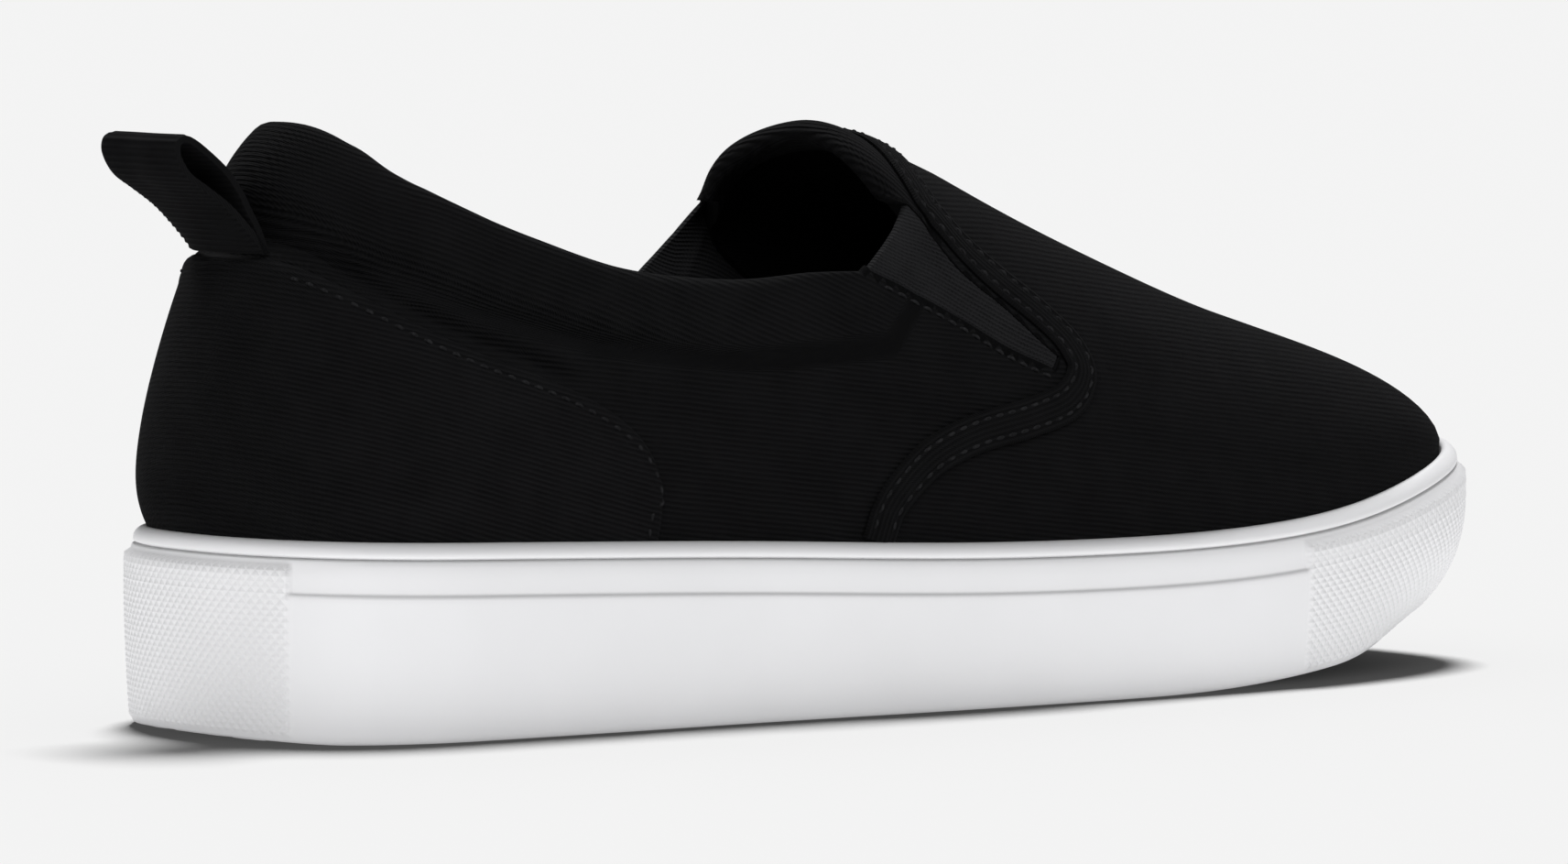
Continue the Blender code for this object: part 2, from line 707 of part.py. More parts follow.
def channel_stations():
    """Start and end of each channel along the sole, and its depth."""
    spans = []
    for first, last in (HEEL_TREAD, FOREFOOT_TREAD):
        x = first * SOLE_LENGTH
        while x + CHANNEL_WIDTH < last * SOLE_LENGTH:
            spans.append((x, x + CHANNEL_WIDTH, CHANNEL_DEPTH))
            x += CHANNEL_PITCH
    spans.append((ARCH[0] * SOLE_LENGTH, ARCH[1] * SOLE_LENGTH, ARCH_RISE))
    return spans


def cut_tread(sole):
    """Cut the channels and the arch out of the tread."""
    points = []
    faces = []
    for x0, x1, rise in channel_stations():
        n = len(points)
        points += channel(x0, x1, rise)
        for face in ((0, 2, 3, 1), (4, 5, 7, 6), (0, 1, 5, 4), (2, 6, 7, 3), (0, 4, 6, 2), (1, 3, 7, 5)):
            faces.append(tuple(n + i for i in face))
    subtract(sole, mesh_object("tread_cutter", points, faces, sole.data.materials[0]))


def subtract(thing, cutter):
    """Cut a hidden cutter out of a piece."""
    cutter.hide_render = True
    cutter.display_type = "WIRE"
    cut = thing.modifiers.new(cutter.name, "BOOLEAN")
    cut.operation = "DIFFERENCE"
    cut.object = cutter
    cut.solver = "EXACT"


def build_insole(material):
    """A flat-edged sock on the cup's floor, clear of the upper's wall."""
    angles = np.linspace(0, 2 * math.pi, INSOLE_COLUMNS, endpoint=False)
    inset = FEATHER_INSET + UPPER_WALL + 2 * SEAT_GAP
    rows = []
    for move, rise in ((0.0, 0.0), (0.0, INSOLE_EDGE_SHARE), (INSOLE_EDGE, 1.0)):
        x, y = outline(angles, inset + move)
        z = cup_floor(x) + SEAT_GAP + INSOLE_THICKNESS * rise
        rows.append(np.stack([x, y, z], axis=1))
    faces = ring_faces(len(angles), len(rows), False)
    faces += strip_faces(0, len(angles)) + strip_faces(2 * len(angles), len(angles))
    return mesh_object("insole", np.concatenate(rows), faces, material)


def upper_rows(skin):
    """Outer and inner points of the upper's rows up to its rounded edge."""
    depth, pad, _, _ = pad_of(skin)
    half = (UPPER_WALL + pad) / 2
    reach = PAD_REACH * depth
    body = [(skin.lengths - reach) * share for share in BODY_SHARES]
    over_pad = [skin.lengths - half - (reach - half) * share for share in PAD_SHARES]
    distances = np.stack(body + over_pad, axis=1)
    grid = skin.rows(distances)
    normals = grid_normals(grid)
    plan_x, plan_y = outward(skin.foot[:, 0], skin.foot[:, 1])
    normals[:, 0] = np.stack([plan_x, plan_y, 0 * plan_x], axis=1)
    out, thick = stand_off(skin, distances)
    outer = grid + normals * out[..., None]
    return outer, outer - normals * thick[..., None]


def build_upper(skin, material):
    """The hollow upper with its padded, rounded edge."""
    outer, inner = upper_rows(skin)
    last = outer.shape[1] - 1
    floor = cup_floor(skin.foot[:, 0]) + SEAT_GAP
    foot, inner_foot = outer[:, 0].copy(), inner[:, 0].copy()
    foot[:, 2] = inner_foot[:, 2] = floor
    rows = [foot] + [outer[:, j] for j in range(last + 1)]
    up = outer[:, last] - outer[:, last - 1]
    up /= np.linalg.norm(up, axis=1, keepdims=True)
    middle = (outer[:, last] + inner[:, last]) / 2
    across = outer[:, last] - middle
    height = up * np.linalg.norm(across, axis=1, keepdims=True)
    for k in range(1, EDGE_STEPS):
        turn = math.pi * k / EDGE_STEPS
        rows.append(middle + across * math.cos(turn) + height * math.sin(turn))
    inside = [j for j in range(last, -1, -1) if j % 2 == 0 or j > len(BODY_SHARES)]
    rows += [inner[:, j] for j in inside] + [inner_foot]
    faces = ring_faces(len(outer), len(rows), True)
    upper = mesh_object("upper", np.concatenate(rows), faces, material)
    cut_notches(upper)
    return upper


def cut_notches(upper):
    """Cut the wedge for the gore out of both sides of the upper."""
    lower, front = side_line(GORE_LOWER, INSTEP_HEIGHT), side_line(GORE_FRONT, INSTEP_HEIGHT)
    mouth = [(e.along * SOLE_LENGTH, e.height * INSTEP_HEIGHT) for e in NOTCH_MOUTH]
    wedge = np.vstack([lower, front[::-1], mouth])
    count = len(wedge)
    points, faces = [], []
    for side in (-1, 1):
        start = len(points)
        for reach in (NOTCH_NEAR, NOTCH_FAR):
            points += [(x, side * reach, z) for x, z in wedge]
        faces.append(tuple(start + i for i in range(count)))
        faces.append(tuple(start + count + i for i in reversed(range(count))))
        for i in range(count):
            j = (i + 1) % count
            faces.append((start + i, start + j, start + count + j, start + count + i))
    subtract(upper, mesh_object("notch_cutter", points, faces, upper.data.materials[0]))


def distance_to_line(points, line):
    """Distance along a column at which it first passes above a side-view line."""
    run = np.concatenate([[0.0], np.cumsum(np.linalg.norm(np.diff(points, axis=0), axis=1))])
    over = points[:, 2] - np.interp(points[:, 0], line[:, 0], line[:, 1])
    i = int(np.argmax(over > 0)) or len(points) - 1
    share = np.clip(-over[i - 1] / (over[i] - over[i - 1]), 0, 1)
    return run[i - 1] + share * (run[i] - run[i - 1])


def build_counter(skin, material):
    """The heel counter, laid on the upper's own columns."""
    line = side_line(COUNTER_TOP, COLLAR_HEIGHT)
    tops = np.array([distance_to_line(column, line) for column in skin.columns])
    shares = np.linspace(0, 1, COUNTER_ROWS) ** COUNTER_ROW_POWER
    distances = OVERLAY_START + (tops - OVERLAY_START)[:, None] * shares
    grid = skin.rows(distances)
    normals = grid_normals(grid)
    inner = grid + normals * (stand_off(skin, distances)[0] + OVERLAY_GAP)[..., None]
    outer = inner + normals * OVERLAY_THICKNESS
    turned = np.where(skin.angles > math.pi, skin.angles - 2 * math.pi, skin.angles)
    order = [i for i in np.argsort(turned) if abs(turned[i]) < counter_angle() + 1e-6]
    return slab("heel_counter", outer[order], inner[order], material)


def build_band(surface, material):
    """The raised band that runs from the sole up round the gore, over the vamp and down again."""
    side = side_line(BAND_SIDE, INSTEP_HEIGHT)
    lateral = [surface.pierce(x, z, -1) for x, z in side]
    medial = [surface.pierce(x, z, 1) for x, z in side]
    half_width = BALL_WIDTH / 2
    over = [(e.along * SOLE_LENGTH, -e.across * half_width) for e in BAND_OVER]
    over += [(x, -y) for x, y in reversed(over[:-1])]
    top = [surface.drop(x, y) for x, y in over]
    path = resampled(rounded(np.array(lateral + top + medial[::-1])), BAND_STATIONS)
    path = np.array([surface.near(p)[0] for p in path])
    along = np.gradient(path, axis=0)
    outer, inner = [], []
    for place, way in zip(path, along):
        _, normal = surface.near(place)
        sideways = np.cross(normal, way / np.linalg.norm(way))
        row = [surface.near(place + sideways * BAND_WIDTH * k) for k in (-0.5, 0.0, 0.5)]
        inner.append([p + n * OVERLAY_GAP for p, n in row])
        outer.append([p + n * (OVERLAY_GAP + OVERLAY_THICKNESS) for p, n in row])
    return slab("vamp_edge_band", np.array(outer), np.array(inner), material)


def build_gore(name, side, surface, material):
    """The elastic wedge that stands in the notch on one side."""
    lower = resampled(side_line(GORE_LOWER, INSTEP_HEIGHT), GORE_STEPS, GORE_REACH)
    front = resampled(side_line(GORE_FRONT, INSTEP_HEIGHT), GORE_STEPS, GORE_REACH)
    outer, inner = [], []
    for low, high in zip(lower, front):
        gap = GORE_GAP / np.linalg.norm(high - low)
        row = []
        for share in np.linspace(gap, 1 - gap, GORE_STRIPS):
            x, z = low + (high - low) * share
            row.append(surface.pierce(x, z, side) - (0, side * GORE_DEPTH, 0))
        outer.append(row)
        inner.append([p - (0, side * GORE_THICKNESS, 0) for p in row])
    return slab(name, np.array(outer), np.array(inner), material)


def build_loop(material):
    """The pull loop: a folded tape standing behind the collar, with its finger gap."""
    outline = rounded([(p.x * MM, p.z * MM) for p in LOOP_OUTLINE])
    outline = resampled(outline, LOOP_STEPS)
    way = np.gradient(outline, axis=0)
    way /= np.linalg.norm(way, axis=1, keepdims=True)
    hole = outline + np.stack([way[:, 1], -way[:, 0]], axis=1) * LOOP_THICKNESS
    foot = outline[0, 1]
    kept = hole[:, 1] > foot + LOOP_HOLE_START
    hole = resampled(hole[kept], len(outline))
    points = []
    for share in np.linspace(-0.5, 0.5, LOOP_STRIPS):
        y = share * LOOP_WIDTH
        for ring in (outline, hole):
            rise = smooth((ring[:, 1] - foot) / LOOP_BEND_HEIGHT)
            bend = LOOP_BEND_FOOT + (LOOP_BEND_TOP - LOOP_BEND_FOOT) * rise
            x = ring[:, 0] - bend * (1 - (2 * share) ** 2)
            points.append(np.stack([x, np.full(len(ring), y), ring[:, 1]], axis=1))
    count = len(outline)
    faces = []
    for strip in range(LOOP_STRIPS - 1):
        for ring in (0, 1):
            near, far = (2 * strip + ring) * count, (2 * strip + 2 + ring) * count
            for i in range(count):
                j = (i + 1) % count
                faces.append((near + i, near + j, far + j, far + i))
    for ring in (0, 2 * LOOP_STRIPS - 2):
        for i in range(count):
            j = (i + 1) % count
            faces.append((ring * count + i, ring * count + j, (ring + 1) * count + j, (ring + 1) * count + i))
    return mesh_object("pull_loop", np.concatenate(points), faces, material)


def stand_at_origin(things):
    """Move every mesh so that the whole shoe stands on the floor with its box centred on the origin."""
    bpy.context.view_layer.update()
    corners = np.array([list(v.co) for thing in things for v in thing.data.vertices])
    low, high = corners.min(0), corners.max(0)
    shift = -np.array([(low[0] + high[0]) / 2, (low[1] + high[1]) / 2, 0.0])
    for thing in bpy.data.objects:
        for vertex in thing.data.vertices:
            vertex.co = [a + b for a, b in zip(vertex.co, shift)]


def build_all():
    """Build every piece and stand the shoe on the floor."""
    clear_scene()
    twill, rubber, lining, elastic = (make_material(finish) for finish in (TWILL, RUBBER, LINING, ELASTIC))
    skin = Skin(upper_angles())
    surface = Surface()
    things = [
        build_sole(rubber),
        build_insole(lining),
        build_upper(skin, twill),
        build_counter(skin, twill),
        build_band(surface, twill),
        build_gore("gore_lateral", -1, surface, elastic),
        build_gore("gore_medial", 1, surface, elastic),
        build_loop(elastic),
    ]
    stand_at_origin(things)


build_all()
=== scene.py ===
"""Looks of the slip-on sneaker: twill upper with a padded collar, heel counter, stitched vamp band,
elastic gores, ribbed pull loop and a white moulded cup sole, in a pale studio.

Sizes are metres in the last's own axes: x from the heel to the toe, -Y the outer (lateral) side.
SHIFT, worked out by cad_shift and added in make_piece, moves points into the frame's axes.
"""
import logging
import math
from dataclasses import dataclass, field
from enum import Enum
from typing import Callable, NamedTuple, Sequence

import bmesh
import bpy
import numpy as np
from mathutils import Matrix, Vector
from mathutils.bvhtree import BVHTree


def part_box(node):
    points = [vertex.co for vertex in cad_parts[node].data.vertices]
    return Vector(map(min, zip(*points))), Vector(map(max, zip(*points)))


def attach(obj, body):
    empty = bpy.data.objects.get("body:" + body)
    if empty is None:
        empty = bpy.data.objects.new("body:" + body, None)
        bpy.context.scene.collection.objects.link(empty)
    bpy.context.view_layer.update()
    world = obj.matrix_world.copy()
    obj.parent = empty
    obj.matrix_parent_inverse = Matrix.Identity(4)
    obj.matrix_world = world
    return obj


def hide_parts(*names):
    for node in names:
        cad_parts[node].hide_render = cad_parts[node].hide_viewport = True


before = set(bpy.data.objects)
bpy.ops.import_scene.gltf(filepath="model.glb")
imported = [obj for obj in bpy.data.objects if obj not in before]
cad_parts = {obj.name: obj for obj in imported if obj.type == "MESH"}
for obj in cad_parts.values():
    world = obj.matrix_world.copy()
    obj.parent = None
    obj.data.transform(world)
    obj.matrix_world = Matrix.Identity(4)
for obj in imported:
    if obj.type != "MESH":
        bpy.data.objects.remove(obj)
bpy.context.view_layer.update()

LOG = logging.getLogger("sneaker")
MM = 0.001
Array = np.ndarray


class Side(Enum):
    """Side of the shoe, as the sign of its y."""

    LATERAL = -1
    MEDIAL = 1


class Base(Enum):
    """What a row of the sole's wall measures its height from."""

    RIM = "rim"
    GROUND = "ground"


class Cap(NamedTuple):
    """How an outline closes at one end."""

    length: float
    power: float
    root: float


class Section(NamedTuple):
    """A section of the last; shares of its driving sizes."""

    along: float
    lateral: float
    medial: float
    rim: float
    ridge: float
    ridge_side: float
    crown: float
    wall: float


class Edge(NamedTuple):
    """A point of a side-view line: a share of the length and a share of a height."""

    along: float
    height: float


class WallRow(NamedTuple):
    """A row of the sole's wall: inset from the outline and rise from its base, in millimetres."""

    inset: float
    base: Base
    rise: float


def spline(stations: Sequence[float], values: Sequence[float]) -> Callable[[Array], Array]:
    """Make a natural cubic through values.

    Args:
        stations: Places of the values, rising.
        values: Value at each station.

    Returns:
        A function of the station.
    """
    knots, heights = np.asarray(stations, float), np.asarray(values, float)
    count, steps = len(knots), np.diff(knots)
    matrix, right = np.eye(count), np.zeros(count)
    for i in range(1, count - 1):
        matrix[i, i - 1:i + 2] = steps[i - 1], 2 * (steps[i - 1] + steps[i]), steps[i]
        ahead, behind = heights[i + 1] - heights[i], heights[i] - heights[i - 1]
        right[i] = 6 * (ahead / steps[i] - behind / steps[i - 1])
    bends = np.linalg.solve(matrix, right)

    def value(station: Array) -> Array:
        """Value of the cubic at a station.

        Args:
            station: Where the value is wanted.

        Returns:
            The value.
        """
        i = np.clip(np.searchsorted(knots, station) - 1, 0, count - 2)
        step, d = steps[i], station - knots[i]
        slope = (heights[i + 1] - heights[i]) / step - step * (2 * bends[i] + bends[i + 1]) / 6
        turn = bends[i + 1] - bends[i]
        return heights[i] + d * slope + d * d * bends[i] / 2 + d ** 3 * turn / (6 * step)

    return value


def smooth(share: Array) -> Array:
    """Ease a share from 0 to 1."""
    share = np.clip(share, 0.0, 1.0)
    return share * share * (3 - 2 * share)


def rounded(line: Sequence[Sequence[float]], steps: int = 8) -> Array:
    """Points of a smooth curve through the points of a line.

    Args:
        line: Points in order.
        steps: Points made for each stretch.

    Returns:
        The curve's points.
    """
    points = np.asarray(line, float)
    ends = np.vstack([2 * points[0] - points[1], points, 2 * points[-1] - points[-2]])
    curve = []
    for a, b, c, d in zip(ends, ends[1:], ends[2:], ends[3:]):
        for t in np.arange(steps) / steps:
            bend = (2 * a - 5 * b + 4 * c - d) * t ** 2 + (3 * b - a - 3 * c + d) * t ** 3
            curve.append((2 * b + (c - a) * t + bend) / 2)
    return np.array(curve + [points[-1]])


def run_of(line: Array) -> Array:
    """Distance of each point along a line from its start."""
    return np.concatenate([[0.0], np.cumsum(np.linalg.norm(np.diff(line, axis=0), axis=1))])


def resampled(line: Array, count: int, reach: float = 1.0) -> Array:
    """Evenly spaced points on a line, or on its first part where reach is under 1.

    Args:
        line: Points of the line.
        count: Number of points made.
        reach: Share of the line that they cover, from its start.

    Returns:
        The new points.
    """
    run = run_of(line)
    places = np.linspace(0, run[-1] * reach, count)
    return np.stack([np.interp(places, run, line[:, k]) for k in range(line.shape[1])], axis=1)


def grid_normals(grid: Array, closed: bool = True) -> Array:
    """Unit normals of a grid of points.

    Args:
        grid: Points, columns first; the columns run round the shoe.
        closed: Whether the last column joins the first.

    Returns:
        A normal for each point, facing out.
    """
    around = np.roll(grid, -1, 0) - np.roll(grid, 1, 0) if closed else np.gradient(grid, axis=0)
    normal = np.cross(around, np.gradient(grid, axis=1))
    return normal / np.maximum(np.linalg.norm(normal, axis=2, keepdims=True), 1e-12)


@dataclass(frozen=True)
class Last:
    """The form the whole shoe is built on."""

    length: float = 270 * MM
    ball_width: float = 92.6 * MM
    instep: float = 101 * MM
    rim_height: float = 28 * MM
    collar: float = 101 * MM
    spring: float = 9.0 * MM
    spring_start: float = 0.62
    heel_lift: float = 1.0 * MM
    heel_lift_length: float = 12 * MM
    spring_power: float = 1.35
    heel_lift_power: float = 1.5
    feather: float = 4.2 * MM
    floor_back: float = 15 * MM
    floor_front: float = 9 * MM
    heel_plan: Cap = Cap(36.5 * MM, 2.33, 2.33)
    toe_plan: Cap = Cap(65 * MM, 2.26, 2.6)
    heel_back: Cap = Cap(33.4 * MM, 2.08, 2.0)
    toe_top: Cap = Cap(51 * MM, 2.17, 2.0)
    sections: tuple[Section, ...] = (
        Section(0.00, 0.765, 0.801, 1.207, 1.058, 0.000, 2.00, 1.47),
        Section(0.10, 0.812, 0.797, 1.179, 1.056, 0.000, 2.00, 1.50),
        Section(0.22, 0.866, 0.758, 1.139, 1.059, 0.000, 2.00, 1.60),
        Section(0.35, 0.905, 0.728, 1.086, 1.053, 0.006, 2.00, 2.05),
        Section(0.48, 0.972, 0.773, 1.025, 1.000, 0.022, 2.00, 2.75),
        Section(0.61, 1.011, 0.903, 0.996, 0.853, 0.065, 2.00, 2.20),
        Section(0.73, 1.009, 0.989, 1.014, 0.719, 0.115, 2.05, 1.65),
        Section(0.84, 0.957, 1.006, 1.114, 0.614, 0.130, 2.20, 1.75),
        Section(0.94, 0.937, 0.972, 1.308, 0.584, 0.119, 2.20, 1.65),
        Section(1.00, 0.972, 0.950, 1.440, 0.576, 0.108, 2.20, 1.50),
    )
    curves: dict[str, Callable[[Array], Array]] = field(default_factory=dict)

    def curve(self, name: str) -> Callable[[Array], Array]:
        """A section column as a function of x, made once.

        Args:
            name: Name of the column.

        Returns:
            The function, in metres where the column is a size.
        """
        if name not in self.curves:
            half = self.ball_width / 2
            scale = {"lateral": half, "medial": half, "rim": self.rim_height, "ridge": self.instep,
                     "ridge_side": half, "crown": 1.0, "wall": 1.0}[name]
            stations = [row.along * self.length for row in self.sections]
            self.curves[name] = spline(stations, [getattr(row, name) * scale for row in self.sections])
        return self.curves[name]

    def cap(self, distance: Array, shape: Cap, inset: Array) -> Array:
        """Rise from 0 at the outline's end to 1 past the cap."""
        away = np.clip(1 - (distance - inset) / (shape.length - inset), 0.0, 1.0)
        return np.clip(1 - away ** shape.power, 0.0, 1.0) ** (1 / shape.root)

    def sides(self, x: Array, inset: Array) -> tuple[Array, Array]:
        """y of the lateral and the medial outline at x, moved in by the inset."""
        closing = self.cap(x, self.heel_plan, inset) * self.cap(self.length - x, self.toe_plan, inset)
        return -(self.curve("lateral")(x) - inset) * closing, (self.curve("medial")(x) - inset) * closing

    def outline(self, angles: Array, inset: Array) -> tuple[Array, Array]:
        """Plan points of the outline: 0 at the heel, then the lateral side, pi at the toe.

        Args:
            angles: Places round the outline.
            inset: How far the points are moved in.

        Returns:
            The x and y of the points.
        """
        x = inset + (self.length - 2 * inset) * (1 - np.cos(angles)) / 2
        lateral, medial = self.sides(x, inset)
        return x, np.where(angles <= math.pi, lateral, medial)

    def ground(self, x: Array) -> Array:
        """Height of the tread above the floor.

        Args:
            x: Places along the shoe.

        Returns:
            The heights.
        """
        start = self.spring_start * self.length
        toe = smooth(np.clip((x - start) / (self.length - start), 0, 1) ** self.spring_power)
        heel = np.clip(1 - x / self.heel_lift_length, 0, 1) ** self.heel_lift_power
        return self.spring * toe + self.heel_lift * heel

    def cup_floor(self, x: Array) -> Array:
        """Height of the cup's floor.

        Args:
            x: Places along the shoe.

        Returns:
            The heights.
        """
        share = smooth(x / (self.spring_start * self.length))
        ground = self.ground(np.clip(x, self.heel_lift_length, None))
        return ground + self.floor_back + (self.floor_front - self.floor_back) * share

    def height(self, x: Array, y: Array) -> Array:
        """Height of the closed last over a point of its plan.

        Args:
            x: Places along the shoe.
            y: Places across it.

        Returns:
            The heights.
        """
        lateral, medial = self.sides(x, self.feather)
        ridge_y = np.clip(self.curve("ridge_side")(x), lateral, medial)
        reach = np.where(y < ridge_y, ridge_y - lateral, medial - ridge_y)
        across = np.clip(np.abs(y - ridge_y) / np.maximum(reach, 1e-9), 0, 1)
        arch = (1 - across ** self.curve("crown")(x)) ** (1 / self.curve("wall")(x))
        closing = self.cap(x, self.heel_back, self.feather)
        closing = closing * self.cap(self.length - x, self.toe_top, self.feather)
        rim = self.curve("rim")(x)
        return rim + (self.curve("ridge")(x) - rim) * closing * arch

    def line(self, edges: Sequence[Edge], height: float) -> Array:
        """Smooth side-view curve of a table of edges."""
        return rounded([(e.along * self.length, e.height * height) for e in edges])


LAST = Last()


def plan_normals(x: Array, y: Array) -> tuple[Array, Array]:
    """Unit plan normals of a closed outline that runs anticlockwise.

    Args:
        x: Places along the shoe.
        y: Places across it.

    Returns:
        The x and y parts of the normals.
    """
    tangent_x, tangent_y = np.roll(x, -1) - np.roll(x, 1), np.roll(y, -1) - np.roll(y, 1)
    size = np.hypot(tangent_x, tangent_y)
    return tangent_y / size, -tangent_x / size


@dataclass(frozen=True)
class Ease:
    """How the soft upper stands: fuller inside at the throat, and the collar's sag and rise."""

    width: float = 8.4 * MM
    width_from: float = 60 * MM
    width_span: float = 24 * MM
    width_stations: tuple[float, float, float, float] = (0.34, 0.45, 0.56, 0.70)
    drop: float = 3.6 * MM
    drop_from: float = 48 * MM
    drop_span: float = 24 * MM
    drop_stations: tuple[float, float, float, float] = (0.20, 0.36, 0.455, 0.52)
    middle: float = 16 * MM
    lift_stations: tuple[float, ...] = (
        -0.05, 0.03, 0.06, 0.10, 0.14, 0.18, 0.25, 0.40, 0.44, 0.475, 0.53, 0.57)
    lift: tuple[float, ...] = (1.2, 2.2, 1.9, 0.7, 1.5, 1.4, 1.6, 1.5, 0.7, -0.7, -0.6, 0.0)
    lift_from: tuple[float, float] = (80 * MM, 60 * MM)
    lift_span: float = 14 * MM
    lean: float = 0.6 * MM
    lean_from: float = 38 * MM
    lean_reach: float = 12 * MM

    @staticmethod
    def stretch(share: Array, stations: tuple[float, float, float, float]) -> Array:
        """Ease in over the first two stations and out over the last two."""
        start, full, end, gone = stations
        return smooth((share - start) / (full - start)) * smooth((gone - share) / (gone - end))

    def move(self, points: Array) -> Array:
        """Points moved by the ease.

        Args:
            points: Points on the upper's skin.

        Returns:
            The moved points.
        """
        share, side, z = points[..., 0] / LAST.length, smooth(points[..., 1] / self.middle), points[..., 2]
        wide = smooth((z - self.width_from) / self.width_span) * self.stretch(share, self.width_stations)
        low = smooth((z - self.drop_from) / self.drop_span) * self.stretch(share, self.drop_stations)
        start = np.interp(share, (0.0, 0.25), self.lift_from)
        rise = np.interp(share, self.lift_stations, self.lift) * MM * smooth((z - start) / self.lift_span)
        back = smooth((z - self.lean_from) / self.lean_reach) * smooth(1 - points[..., 0] / self.lean_reach)
        moved = points.copy()
        moved[..., 0] += self.lean * back
        moved[..., 1] += self.width * wide * side
        moved[..., 2] += rise - self.drop * low * side
        return moved


EASE = Ease()


@dataclass
class Skin:
    """The last's skin under the upper: a column for each angle, from the feather edge to the opening."""

    angles: Array
    ray_steps: int = 420
    ray_power: int = 3
    ray_reach: float = 0.999
    centre: float = 0.33
    bulge: float = 2.05 * MM
    heel_bulge: float = 1.0 * MM
    heel_bulge_length: float = 50 * MM
    bulge_height: float = 14 * MM
    collar_line: tuple[Edge, ...] = (
        Edge(-0.030, 0.960), Edge(0.029, 0.970), Edge(0.058, 0.995), Edge(0.082, 1.004), Edge(0.104, 0.968),
        Edge(0.125, 0.915), Edge(0.168, 0.855), Edge(0.210, 0.806), Edge(0.268, 0.752), Edge(0.337, 0.729),
        Edge(0.393, 0.733), Edge(0.436, 0.738),
    )
    throat_line: tuple[Edge, ...] = (
        Edge(0.478, 0.838), Edge(0.485, 0.875), Edge(0.483, 0.925), Edge(0.485, 0.975), Edge(0.498, 1.030),
    )
    columns: list[Array] = field(default_factory=list)

    def __post_init__(self) -> None:
        """Cut every column at the opening's line."""
        x0, y0 = LAST.outline(self.angles, LAST.feather)
        normal_x, normal_y = plan_normals(x0, y0)
        reach = np.linspace(0, 1, self.ray_steps) ** self.ray_power * self.ray_reach
        x = x0[:, None] + (self.centre * LAST.length - x0[:, None]) * reach
        y = y0[:, None] * (1 - reach)
        z = LAST.height(x, y)
        rise = z - z[:, :1]
        amount = self.bulge + self.heel_bulge * np.clip(1 - x0 / self.heel_bulge_length, 0, 1)
        push = amount[:, None] * rise / self.bulge_height * np.exp(1 - rise / self.bulge_height)
        x, y = x + normal_x[:, None] * push, y + normal_y[:, None] * push
        line = self.opening()
        inside = self.inside(x, z, line)
        for i in range(len(self.angles)):
            last = max(int(np.argmax(inside[i])), 1)
            points = np.stack([x[i, :last + 1], y[i, :last + 1], z[i, :last + 1]], axis=1)
            share = self.crossing(points[-2, [0, 2]], points[-1, [0, 2]], line)
            points[-1] = points[-2] + (points[-1] - points[-2]) * max(share, 1e-3)
            self.columns.append(points)
        self.lengths = np.array([run_of(c)[-1] for c in self.columns])
        self.edge = np.array([c[-1] for c in self.columns])
        self.foot = np.array([c[0] for c in self.columns])

    def opening(self) -> Array:
        """Closed side-view outline of the space over the opening.

        Returns:
            Its points.
        """
        collar = LAST.line(self.collar_line, LAST.collar)
        line = np.vstack([collar, LAST.line(self.throat_line, LAST.instep)])
        above = 2 * LAST.instep
        return np.vstack([line, [(line[-1][0], above), (line[0][0], above)]])

    @staticmethod
    def inside(x: Array, z: Array, line: Array) -> Array:
        """Whether side-view places lie inside a closed line.

        Args:
            x: Places along the shoe.
            z: Their heights.
            line: Points of the line.

        Returns:
            True for each place inside.
        """
        found = np.zeros(np.shape(x), bool)
        for (x0, z0), (x1, z1) in zip(line, np.roll(line, -1, 0)):
            rise = z1 - z0 if abs(z1 - z0) > 1e-12 else 1e-12
            found ^= ((z0 > z) != (z1 > z)) & (x < x0 + (x1 - x0) * (z - z0) / rise)
        return found

    @staticmethod
    def crossing(start: Array, end: Array, line: Array) -> float:
        """Share of the way from start to end at which a side-view line is first crossed.

        Args:
            start: Where the way starts.
            end: Where it ends.
            line: Points of the closed line.

        Returns:
            The share, 1 where the line is not crossed.
        """
        best, way = 1.0, end - start
        for first, second in zip(line, np.roll(line, -1, 0)):
            side, to_line = second - first, first - start
            turn = way[0] * side[1] - way[1] * side[0]
            if abs(turn) < 1e-15:
                continue
            along = (to_line[0] * side[1] - to_line[1] * side[0]) / turn
            across = (to_line[0] * way[1] - to_line[1] * way[0]) / turn
            if -1e-6 <= along <= 1 and -1e-6 <= across <= 1 + 1e-6:
                best = min(best, max(along, 0.0))
        return best

    def rows(self, distances: Array) -> Array:
        """Points at distances from the feather edge, a row of distances for each column.

        Args:
            distances: The distances, columns first.

        Returns:
            The points, columns first.
        """
        found = []
        for points, places in zip(self.columns, distances):
            run = run_of(points)
            found.append(np.stack([np.interp(places, run, points[:, k]) for k in range(3)], axis=1))
        return np.array(found)


